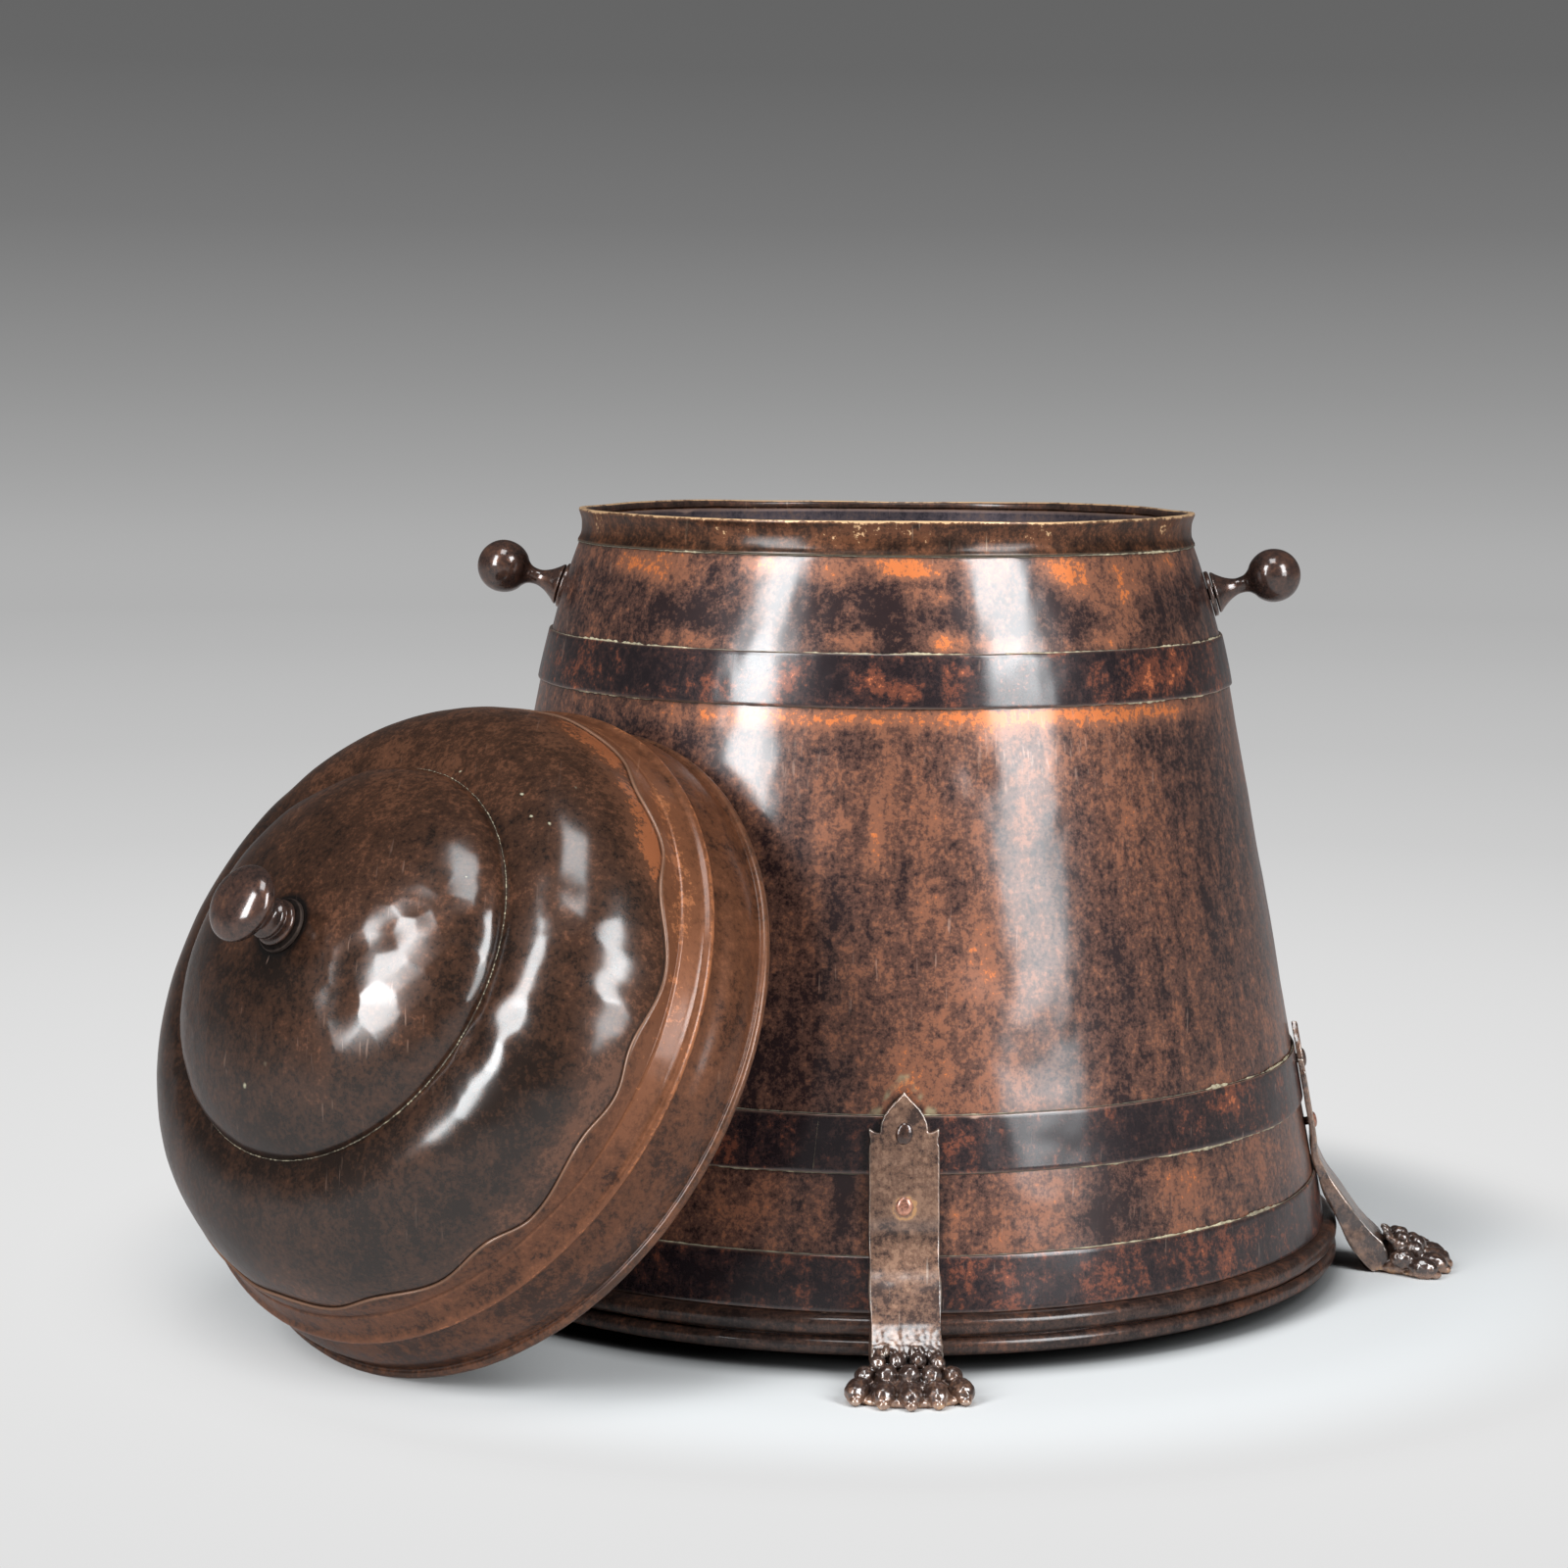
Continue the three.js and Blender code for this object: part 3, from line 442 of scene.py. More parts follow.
wallMarks = [  # as spots takes them
    # orange copper under the neck seam and round the solder
    (-138, 350, 22, 7, 0.4), (-128, 345, 16, 9, 0.3), (-112, 352, 12, 5, 0.35), (-100, 349, 10, 8, 0.4),
    (-90, 352, 10, 5, 0.35), (-84, 351, 12, 5, 0.45), (-82, 338, 9, 5, 0.25), (-58, 350, 12, 8, 0.5),
    (-55, 342, 10, 6, 0.4), (-42, 345, 16, 10, 0.28), (-30, 350, 20, 8, 0.25), (-48, 333, 14, 16, 0.2),
    (-96, 318, 14, 5, 0.4), (-80, 318, 12, 5, 0.5), (-70, 317, 16, 4, 0.35), (-52, 318, 12, 5, 0.3),
    (-124, 317, 20, 4, 0.35), (-30, 317, 18, 5, 0.2),
    # dark bluish clouds on the shoulder
    (-92, 330, 22, 12, -0.08), (-120, 325, 20, 10, -0.08), (-66, 325, 12, 12, -0.1),
    # under the upper band
    (-110, 283, 60, 5, 0.38), (-70, 284, 70, 5, 0.42), (-40, 283, 40, 5, 0.35), (-95, 274, 12, 8, -0.15),
    (-74, 276, 8, 5, 0.2), (-60, 262, 26, 26, 0.12), (-84, 245, 30, 26, 0.1), (-96, 235, 26, 30, 0.06),
    (-46, 268, 16, 12, -0.15), (-25, 250, 40, 90, -0.12), (-130, 262, 40, 24, -0.18), (-112, 268, 20, 12, -0.1),
    (-72, 178, 30, 40, 0.05), (-92, 188, 26, 20, -0.1), (-104, 150, 30, 30, -0.12), (-50, 160, 30, 36, -0.05),
    (-85, 118, 20, 14, 0.12), (-70, 112, 20, 10, 0.08), (-110, 120, 40, 16, -0.1), (-45, 205, 24, 40, 0.1),
    (-40, 110, 20, 6, 0.15),
    # lower course
    (-106, 60, 60, 20, 0.12), (-70, 66, 18, 18, 0.2), (-62, 60, 14, 14, -0.25), (-48, 64, 22, 16, 0.2),
    (-34, 66, 24, 16, 0.12), (-84, 66, 8, 22, -0.3), (-94, 66, 5, 26, -0.3),
]


def wallRubbed(angle, r, z):
    shoulder = 0.10 * np.clip((z - 306) / 12, 0, 1) * np.clip((353 - z) / 10, 0, 1)
    return 0.06 * wobble(angle, z, (3, 0.01), 21) + 1.25 * spots(angle, z, wallMarks) - shoulder


legShape = {
    "azimuths": {"front": -87, "right": -5, "back": 93, "left": 175},
    "width": 32.0, "thickness": 3.0, "tip": 117.0, "ear": 101.0, "notch": 98.8, "arch": 11.0, "floor": -8.0,
    "grain": 0.52,  # fineness of the casting in mm
}


def headTop(y):
    # top of the strap's head across its width: ears outside, a pointed arch between them
    s = legShape
    y = np.minimum(abs(y), s["width"] / 2)
    ear = np.clip((y - s["arch"]) / (s["width"] / 2 - s["arch"]), 0, 1)
    arch = np.clip(1 - y / s["arch"], 0, 1)
    point = 0.93 * arch ** 0.45 + 0.07 * arch ** 6
    return s["notch"] + (s["ear"] - s["notch"]) * ear ** 1.6 + (s["tip"] - s["notch"]) * point


def offStrap(degrees, angle, z):
    # how far a place on the wall is outside the head of the strap there, in mm
    half = legShape["width"] / 2
    across = abs(turnAway(angle, degrees) * wallRadius(z))
    beside = np.hypot(np.maximum(0, across - half), np.maximum(0, z - legShape["ear"]))
    return np.where(across < half, (z - headTop(across)) * 0.5, beside)


# brushed scuffs, placed where the wall's highlights fall: wear with painted sheen
scuffAndSheenSpots = [(-68, 268, 46, 22, 0.8), (-104, 262, 22, 16, 0.6), (-50, 200, 20, 60, 0.2), (-60, 60, 40, 16, 0.15)]


def wallScuffAndSheen(angle, r, z):
    return spots(angle, z, scuffAndSheenSpots)


def wallDirtAndShade(angle, r, z):
    # painted shade with dirt along the neck seam, at the top and the foot of each band and beside the straps
    dirtAndShade = np.exp(-abs(z - binShape["seamHeight"]) / 0.9)
    for low, high in bands.values():
        dirtAndShade = np.maximum(dirtAndShade, np.maximum(np.exp(-abs(z - high) / 0.8), np.exp(-abs(z - low) / 0.9)))
    for degrees in legShape["azimuths"].values():
        dirtAndShade = np.maximum(dirtAndShade, 0.85 * np.exp(-np.maximum(0, offStrap(degrees, angle, z) - 0.6) / 1.1))
    return dirtAndShade * (0.7 + 0.5 * wobble(angle, z, (30, 0.2), 9))


def wallPale(angle, r, z):
    # greenish crust round the head of each strap
    crust = np.zeros(r.shape)
    for degrees in legShape["azimuths"].values():
        ring = bump(offStrap(degrees, angle, z) - 3.2, 1.7)
        crust = np.maximum(crust, 0.55 * ring * np.clip((z - 84) / 6, 0, 1))
    return crust * (0.75 + 0.5 * wobble(angle, z, (20, 0.15), 19))


def sheetOutline(low, high, outer, inner, gap, corner):
    # a strip that follows the wall between two heights, its faces off the wall by outer and inner
    steps = max(2, round((high - low) / gap))
    heights = [low + (high - low) * k / steps for k in range(steps + 1)]
    outside = [(wallRadius(z) + outer, z, 0) for z in heights]
    inside = [(wallRadius(z) + inner, z, 0) for z in reversed(heights[::3])]
    inside[-1] = (wallRadius(low) + inner, low, 0)
    closed = outside + inside
    for k in (0, len(outside) - 1, len(outside), len(closed) - 1):
        closed[k] = (*closed[k][:2], corner)
    return rounded(closed, 0, 2)


def course(name, low, high, gap, *nodes):
    outline = sheetOutline(low, high, 0, -binShape["sheet"], gap, 0.3)
    made = turned(name, outline, binShape["sides"], dented, {
        "wearAndLight": wallRubbed, "dirtAndShadeWeight": wallDirtAndShade, "scuffAndSheen": wallScuffAndSheen, "pale": wallPale})
    return finished(made, finishes["wall"], "bin", "wall_copper", *nodes)


course("lowerCourseSheet", 2.3, binShape["lowerJoint"] - 0.1, 3.0, "lower_course")
course("bodySheet", binShape["lowerJoint"] + 0.1, binShape["upperJoint"] - 0.1, 3.0, "body_wall")
course("shoulderSheet", binShape["upperJoint"] + 0.1, binShape["seamHeight"] - 0.1, 2.5, "shoulder_course")


def lining(name, low, high):
    # the grey-brown skin inside the bin, a hair proud of the copper
    outline = sheetOutline(low, high, -binShape["sheet"] - 0.1, -binShape["sheet"] - 0.35, 6.0, 0.1)
    made = turned(name, outline, 240, dented)
    return finished(made, finishes["inside"], "bin", "wall_copper")


lining("insideSkin", 3.0, binShape["seamHeight"] - 8)

bandMarks = [
    (-118, 296, 14, 6, 0.25), (-106, 300, 12, 8, 0.3), (-92, 302, 8, 8, 0.3), (-88, 297, 8, 4, 0.35),
    (-86, 294, 6, 4, 0.3), (-78, 304, 8, 3, 0.2), (-44, 300, 12, 9, 0.4), (-36, 303, 8, 8, 0.35),
    (-56, 306, 6, 12, 0.15), (-62, 300, 20, 12, -0.2), (-100, 300, 10, 14, -0.15), (-130, 300, 40, 14, -0.1),
    (-74, 298, 10, 12, -0.15),
    (-110, 90, 16, 10, 0.15), (-66, 96, 20, 8, -0.2), (-56, 92, 24, 12, -0.15), (-38, 98, 14, 8, 0.15),
    (-110, 30, 40, 12, -0.1), (-62, 30, 20, 8, 0.18), (-46, 34, 20, 10, 0.1), (-120, 34, 14, 6, 0.15),
]


def bandRubbed(angle, r, z):
    return 0.05 * wobble(angle, z, (4, 0.05), 31) + 1.3 * spots(angle, z, bandMarks) - 0.03


def bandShape(angle, r, z):
    # a hand-fitted strap: its edges wander a little
    edge = 0.25 * wobble(angle, 0, (5, 1), 17)
    ripple = 0.1 * wobble(angle, z, (26, 0.02), 41)
    return r + wallDent(angle, z) + ripple, z + edge


for place, (low, high) in bands.items():
    outline = sheetOutline(low, high, bandStand, -0.3, 2.0, 0.5)
    made = turned(place + "BandStrap", outline, binShape["sides"], bandShape, {"wearAndLight": bandRubbed})
    finished(made, finishes["band"], "bin", "band_copper", place + "_band")
print("courses and bands done")

neckShape = {
    "rimRadius": 155.0, "height": 16.5, "waist": 153.5, "flare": 155.4, "hem": 3.8, "hemThickness": 3.3,
    "rimDents": [(86, 13, 1.5, 1.6), (66, 10, 0.7, -0.6), (110, 16, 0.8, 0.5), (-118, 14, 0.5, 0.6),
                 (-60, 12, 0.4, -0.5), (15, 12, 0.6, 0.6), (165, 12, 0.7, 0.4)],
}


def neckBend(angle, r, z):
    # the rim has been knocked: degrees round, half width, drop and push inwards
    seam = binShape["seamHeight"]
    share = np.maximum(0, (z - seam) / neckShape["height"])
    drop = 0.35 * wobble(angle, 0, (3, 1), 51)
    push = 0.5 * wobble(angle, 0, (2.4, 1), 57)
    for degrees, half, down, inwards in neckShape["rimDents"]:
        near = bump(np.degrees(turnAway(angle, degrees)), half)
        drop = drop - down * near
        push = push - inwards * near
    return r + wallDent(angle, seam) * (1 - share) + push * share, z + drop * share ** 2


def neckRubbed(angle, r, z):
    rise = z - binShape["seamHeight"]
    wornAndLit = 0.35 * bump(rise - neckShape["height"], 1.1) + 0.1 * bump(rise - 10, 5)
    return wornAndLit + 0.1 * wobble(angle, z, (6, 0.05), 61)


def neckDirtAndShade(angle, r, z):
    # a dark line at the collar's foot along the seam: painted shade with dirt
    return 0.9 * np.exp(-abs(z - binShape["seamHeight"] - 0.3) / 0.5)


def makeNeck():
    n = neckShape
    foot = binShape["seamHeight"] + 0.1
    top = binShape["seamHeight"] + n["height"]
    rim, waist, flare, hem = n["rimRadius"], n["waist"], n["flare"], n["hem"]
    fold = rim - n["hemThickness"]  # inner face of the folded edge
    tongue, tongueFoot = wallRadius(foot - 7), foot - 7  # the collar's tail inside the shoulder
    outside = smoothLine([(flare, foot + 0.9), (waist + 0.35, foot + 4), (waist, foot + 7.5),
                          (waist + 0.15, foot + 11), (rim - 0.5, top - 2.6), (rim, top - 1.3)], 4)
    outline = [(flare, foot, 0.3)] + [(p.x, p.y, 0) for p in outside]
    outline += [(rim - 0.1, top, 0.7), (fold, top, 0.7), (fold - 0.2, top - hem * 0.5, 0.3), (fold, top - hem, 0.5),
                (waist - 0.9, top - hem - 0.5, 0.1), (waist - 1.5, top - hem - 1.2, 0.1),
                (waist - 1.5, foot + 7.5, 1), (flare - 4, foot, 0.6), (tongue - 3.3, tongueFoot, 0.2),
                (tongue - 1.8, tongueFoot, 0.2), (flare - 2.5, foot, 0.2)]
    outline = divided(rounded(outline, 0.3, 3), 2.5)
    made = turned("neckCollar", outline, binShape["sides"], neckBend, {"wearAndLight": neckRubbed, "dirtAndShadeWeight": neckDirtAndShade})
    finished(made, finishes["neck"], "bin", "wall_copper", "neck_collar")
    # the folded edge inside, its lower side wavy
    lip = rounded([(fold - 0.2, top - 0.4, 0.3), (fold - 1.1, top - 1.2, 0.4), (fold - 1.1, top - hem, 0.4),
                   (fold + 0.3, top - hem, 0.2)], 0.3, 2)

    def wavy(angle, r, z):
        r, z = neckBend(angle, r, z)
        return r, z + 0.45 * wobble(angle, 0, (11, 1), 71) * (z < top - 2.5)

    finished(turned("rimFold", lip, binShape["sides"], wavy), finishes["foot"], "bin", "wall_copper")
    skin = [(waist - 1.55, top - hem - 1.0), (waist - 1.55, foot + 7.5), (flare - 4.1, foot),
            (tongue - 3.4, tongueFoot), (tongue - 3.2, tongueFoot), (flare - 3.9, foot),
            (waist - 1.35, foot + 7.5), (waist - 1.35, top - hem - 1.0)]
    inner = turned("neckInsideSkin", divided([Vector(p) for p in skin], 3), 240, neckBend)
    finished(inner, finishes["inside"], "bin", "wall_copper")


makeNeck()

footShape = {
    "panOuter": 234.0, "panTop": 8.0, "panSheet": 2.0, "hoopOuter": 234.2, "hoopLow": 8.6, "hoopHigh": 18.2,
}


def makeFoot():
    f = footShape
    out, top, wall = f["panOuter"], f["panTop"], binShape["footRadius"] + 0.4
    pan = [(0, 0, 0), (out - 1.7, 0, 1.2), (out, 1.7, 1.6), (out, top - 2.2, 2), (out - 2.6, top, 1.4),
           (wall, top - 0.6, 0.5), (wall, f["panSheet"], 0.3), (0, f["panSheet"], 0)]
    outline = divided(rounded(pan, 0.3, 3), lambda a, b: 3 if min(a.x, b.x) > 220 else 20)

    def knocked(angle, r, z):
        near = np.maximum(0, (r - 215) / 20)
        dent = 0.35 * wobble(angle, 0, (6, 1), 81) + 0.14 * wobble(angle, 0, (22, 1), 83)
        return r + dent * near, z + 0.25 * near * wobble(angle, 0, (8, 1), 87) * (z > 1)

    made = turned("basePanRolled", outline, binShape["sides"], knocked)
    finished(made, finishes["foot"], "bin", "band_copper", "base_pan")
    low, high, out = f["hoopLow"], f["hoopHigh"], f["hoopOuter"]
    hoop = [(wallRadius(low) + 0.1, low, 0.3), (out - 2.4, low, 1.0), (out - 0.4, low + 2, 1.2),
            (out, (low + high) / 2, 2), (out - 0.5, high - 2, 1.4), (out - 2.8, high - 0.3, 1.2),
            (wallRadius(high) + 0.1, high + 0.1, 0.3)]

    def knockedHoop(angle, r, z):
        near = np.clip((r - 229) / 4, 0, 1)
        dent = 0.3 * wobble(angle, 0, (7, 1), 91) + 0.16 * wobble(angle, 0, (30, 1), 93)
        return r + dent * near, z + 0.3 * wobble(angle, 0, (9, 1), 97) * near

    made = turned("baseHoopBead", rounded(hoop, 1, 3), binShape["sides"], knockedHoop)
    finished(made, finishes["foot"], "bin", "band_copper", "base_hoop")


makeFoot()
print("neck and foot done")

solderRuns = {
    # height, distance off the wall, radius, seed, and where it is thick and pale: degrees, half width, share
    "upperBandTop": (312.9, 0.75, 0.16, 101, [
        (-140, 14, 1.0), (-80, 24, 0.75), (-24, 14, 1.1), (60, 30, 0.7), (140, 20, 0.7)]),
    "upperBandFoot": (288.2, 0.5, 0.12, 103, [(-139, 12, 0.9), (-38, 16, 0.8), (90, 40, 0.6)]),
    "lowerBandTop": (106.1, 0.75, 0.16, 107, [
        (-26, 12, 1.2), (-38, 4, 1.6), (-112, 8, 0.3), (-84, 9, 0.5), (30, 30, 0.6), (140, 20, 0.6)]),
    "lowerBandFoot": (79.8, 0.5, 0.16, 109, [(-112, 12, 0.7), (-60, 10, 0.35), (-38, 16, 0.9), (80, 40, 0.6)]),
    "bottomBandTop": (43.6, 0.75, 0.16, 113, [(-46, 16, 0.9), (-36, 3.5, 1.6), (-112, 12, 0.3), (120, 30, 0.6)]),
    "neckSeam": (357.0, 0.7, 0.12, 127, [(-36, 14, 0.7), (-128, 5, 0.4), (40, 20, 0.5)]),
}
solderParts = 1100


def solderPale(angle, seed, zones):
    pale = sum(share * bump(np.degrees(turnAway(angle, degrees)), half) for degrees, half, share in zones)
    broken = 0.75 + 1.3 * wobble(angle, 0, (14, 1), seed) + 0.9 * wobble(angle, 0, (52, 1), seed + 1)
    return np.clip(pale * broken, 0, 1.9)


def makeSolder(name, height, off, base, seed, zones):
    angle = turnsOf(solderParts)
    blobs = 1 + 0.9 * wobble(angle, 0, (90, 1), seed + 3)
    size = base * (1 + 0.8 * wobble(angle, 0, (120, 1), seed + 2)) + 0.52 * solderPale(angle, seed, zones) * blobs
    edge = 0.25 * wobble(angle, 0, (5, 1), 17) + 0.2 * wobble(angle, 0, (40, 1), seed + 4)
    r = wallRadius(height) + off + wallDent(angle, height)
    dull = {"dirtAndShadeWeight": lambda angle, r, z: 0.95 - 1.5 * solderPale(angle, seed, zones)}
    made = bead(name + "Solder", angle, r, height + edge, np.clip(size, 0.08, 1.25), dull)
    finished(made, finishes["solder"], "bin", "band_copper")


for name, run in solderRuns.items():
    makeSolder(name, *run)

wallLines = {
    # degrees and height of the middle, half width in degrees, half height in mm, stand-off, radius, finish
    "upperBandJoint": (-114.2, 300.6, 0.05, 12.0, 1.45, 0.28, "band"),
    "lowerBandJoint": (-97.8, 92.8, 0.25, 12.6, 1.45, 0.38, "solder"),
    "backJoint": (101, 200, 0.02, 86, -0.15, 0.35, "wall"),
    "slitLeft": (-95.4, 17.6, 3.2, 0.3, 1.3, 0.32, "black"),
    "slitFarLeft": (-112.8, 17.5, 4.2, 0.25, 1.3, 0.3, "black"),
    "slitRight": (-78.6, 17.7, 2.4, 0.3, 1.3, 0.32, "black"),
    "slitFarRight": (-53.9, 17.6, 5.0, 0.25, 1.3, 0.3, "black"),
}


def makeWallLine(name, degrees, height, wide, tall, off, thick, finish):
    # a long thin loop whose far side is buried in the sheet
    turn = turnsOf(160)
    angle = math.radians(degrees) + math.radians(wide) * np.cos(turn)
    z = height + tall * (np.cos(turn) if tall > 1 else np.sin(turn))
    buried = np.where(np.sin(turn) < 0, 0.7 * abs(np.sin(turn)), 0) * (tall > 1)
    r = wallRadius(z) + off + wallDent(angle, z) - buried
    size = thick * (0.8 + 0.6 * wobble(turn, 0, (6, 1), degrees)) * np.clip(1.2 - abs(np.cos(turn)) ** 9, 0.2, 1)
    finished(bead(name, angle, r, z, size), finishes[finish], "bin", "band_copper")


for name, line in wallLines.items():
    makeWallLine(name, *line)
print("solder done")


# side lines of the strap below the wall, as (r, z), and how its columns close in on the arch's point
strapInner = [(220.3, 50), (224.6, 37.5), (230.2, 25.5), (235.6, 14.5), (241.2, 5.2), (247.0, -2.6), (252, -7.6)]
strapOuter = [(223.9, 51.6), (229.4, 41.5), (236.6, 30.5), (244.0, 21.4), (251.6, 12.6), (257.4, 6.6), (262, -5)]
archSteps = (0, 0.01, 0.03, 0.06, 0.1, 0.15, 0.21, 0.28, 0.36, 0.45, 0.55, 0.65, 0.76, 0.88, 1)


def strapMesh(work):
    # the strap as a plate that follows a side line down to the heel; rows run across it
    s = legShape
    stand, thick = 1.8, s["thickness"] * 1.02
    face = [(wallRadius(z) + stand, z) for z in (s["tip"], 104, 90, 76, 62)]
    inner = smoothLine(face + strapInner, 5)
    outer = smoothLine([(r + thick, z) for r, z in face] + strapOuter, 5)
    arch = [s["arch"] * (1 - t) for t in archSteps]
    right = [s["width"] / 2, 15.3, 14.5, 13.6, 12.6, 11.8, 11.3] + arch
    columns = [-y for y in right] + right[-2::-1]
    rows = len(inner)
    grid = {}
    for side, line in (("in", inner), ("out", outer)):
        top, shoulder = line[0].y, s["notch"] - 8
        for i, point in enumerate(line):
            for j, y in enumerate(columns):
                r, z = point
                if z > shoulder:
                    lift = (z - shoulder) / (top - shoulder)
                    z = shoulder + (float(headTop(y)) - shoulder) * lift
                    r = wallRadius(z) + stand + (0 if side == "in" else thick)
                narrow = 1 + 0.012 * noise.noise(Vector((z * 0.06, y * 0.02, 3))) - 0.045 * bump(z - 95.5, 2.4)
                grid[side, i, j] = work.verts.new((r, y * narrow, z))
    last = len(columns) - 1

    def face4(order, *corners):
        work.faces.new([grid[corner] for corner in corners][::order])

    for i in range(rows - 1):
        for j in range(last):
            face4(1, ("out", i, j), ("out", i, j + 1), ("out", i + 1, j + 1), ("out", i + 1, j))
            face4(1, ("in", i, j), ("in", i + 1, j), ("in", i + 1, j + 1), ("in", i, j + 1))
        for j, order in ((0, 1), (last, -1)):
            face4(order, ("out", i, j), ("out", i + 1, j), ("in", i + 1, j), ("in", i, j))
    for i, order in ((0, 1), (rows - 1, -1)):
        for j in range(last):
            face4(order, ("in", i, j), ("in", i, j + 1), ("out", i, j + 1), ("out", i, j))


def lobe(work, place, size, turn=0.0, dip=0.0):
    matrix = (Matrix.Translation(place) @ Matrix.Rotation(math.radians(turn), 4, "Z")
              @ Matrix.Rotation(math.radians(dip), 4, "Y") @ Matrix.Diagonal((*size, 1)))
    bmesh.ops.create_icosphere(work, subdivisions=4, radius=1, matrix=matrix)


hairTufts = [(-13.5, 265.4, 6.0), (-4.9, 267, 7.7), (4.2, 266.8, 8.0), (12.8, 265.2, 6.4), (-19.4, 264.5, 0.8),
             (19.2, 264.5, 1.0)]


def pawMesh(work):
    lobe(work, (267, 0, -4.6), (16, 20, 7.4))  # the foot under the toes
    lobe(work, (275, 0, -6.2), (13, 25, 4.4))
    lobe(work, (254, 0, -3.5), (8, 15.6, 7.5))  # heel
    lobe(work, (256, 0, 3.0), (7, 15, 4.6), 0, 38)  # ankle
    for off in (-2, -1, 0, 1, 2):  # each toe with its claw and knuckle
        back = 1.9 * off * off
        lobe(work, (284.4 - back, off * 11.5, -2.9), (7.6, 5.5, 5.5), off * 9, 8)
        lobe(work, (290.2 - back, off * 12.0, -5.4), (3.4, 3.0, 2.4), off * 12, 10)  # claw
        lobe(work, (274.6 - back * 0.9, off * 9.7, 3.4 - 0.7 * off * off), (5.2, 4.7, 5.0), off * 7, 10)
    for y, x, z in hairTufts:
        lobe(work, (x, y, z), (4.2, 3.7, 3.7), y * 0.8, 16)
    for k in range(8):  # hair running up the ankle
        y = -13.6 + 3.9 * k
        lobe(work, (260.4 + 0.8 * math.cos(k * 2.1), y, 9.0 + 1.3 * math.sin(k * 1.7)), (3.4, 1.7, 1.8), y, 42)


def castLeg():
    # the strap and the paw melted into one casting, then its surface worked
    work = bmesh.new()
    strapMesh(work)
    pawMesh(work)
    rough = bpy.data.meshes.new("legRough")
    work.to_mesh(rough)
    work.free()
    body = added("legRough", rough)
    melt = body.modifiers.new("cast", "REMESH")
    melt.mode = "VOXEL"
    melt.voxel_size = legShape["grain"] * 1
    soft = body.modifiers.new("soften", "SMOOTH")
    soft.factor, soft.iterations = 0.5, 1
    graph = bpy.context.evaluated_depsgraph_get()
    cast = bpy.data.meshes.new_from_object(body.evaluated_get(graph))
    bpy.data.objects.remove(body)
    cast.name = "legCast"
    places = np.empty(len(cast.vertices) * 3, dtype=np.float32)
    cast.vertices.foreach_get("co", places)
    normals = np.empty(len(places), dtype=np.float32)
    cast.vertices.foreach_get("normal", normals)
    places = places.reshape(-1, 3) + 0.0
    x, y, z = places.T
    flesh = np.clip((x - 246) / 14, 0, 1)  # 0 on the strap, 1 on the paw
    lump = 0.35 * flesh * softNoise(x * 0.42, y * 0.42, z * 0.42) + 0.1 * softNoise(x * 0.16, y * 0.16, z * 0.16)
    # the strap's sweep is hammered into slight waves
    lump += 0.32 * (1 - flesh) * np.clip((50 - z) / 8, 0, 1) * 1.5 * np.cos((z - 30.5) * 2 * math.pi / 26)
    places += normals.reshape(-1, 3) * lump[:, None]
    places[:, 2] = np.maximum(places[:, 2], legShape["floor"])
    hollow = softNoise(x * 0.3, y * 0.3, z * 0.3) * 0.25
    wearAndLight = 0.04 - 0.12 * bump(z - 24, 20) - 0.14 * flesh + hollow * 0.4 + 0.36 * bump(z + 6.4, 2.2) * flesh
    wearAndLight += 0.3 * bump(np.hypot(y, z - rivetShape["heights"]["lower"]) - 5.0, 0.9) - 0.1 * bump(z - 104, 10)
    # painted shade in the crease where the strap meets the ankle, and dirt patches low on the paw
    dirtAndShadeWeight = 0.25 * flesh * (z < 6) * (hollow > 0) + 0.8 * bump(x - 259, 3) * bump(z - 6.5, 2.5)
    cast.vertices.foreach_set("co", (places * mm).ravel())
    paint(cast, {"wearAndLight": wearAndLight, "dirtAndShadeWeight": dirtAndShadeWeight})
    cast.shade_smooth()
    return cast


rivetShape = {"heights": {"upper": 97.8, "lower": 65.7}, "radius": 4.1, "rise": 1.5, "stand": 4.8, "inside": -1.7}
legCast = castLeg()
for side, degrees in legShape["azimuths"].items():
    leg = added("pawLeg." + side, legCast.copy())
    leg.data.transform(Matrix.Rotation(math.radians(degrees), 4, "Z"))
    finished(leg, finishes["leg"], "bin", "leg_brass", "leg_" + side)
bpy.data.meshes.remove(legCast)
print("legs done")


def onWall(degrees, z, off=0.0):
    # a frame on the wall: +Z out along its normal
    slope = math.atan(wallRadius(z - 0.5) - wallRadius(z + 0.5))
    angle = math.radians(degrees)
    return (Matrix.Rotation(angle, 4, "Z") @ Matrix.Translation((wallRadius(z) * mm, 0, z * mm))
            @ Matrix.Rotation(math.pi / 2 - slope, 4, "Y") @ Matrix.Translation((0, 0, off * mm)))


def placed(piece, matrix):
    piece.data.transform(matrix)
    piece.data.update()
    return piece


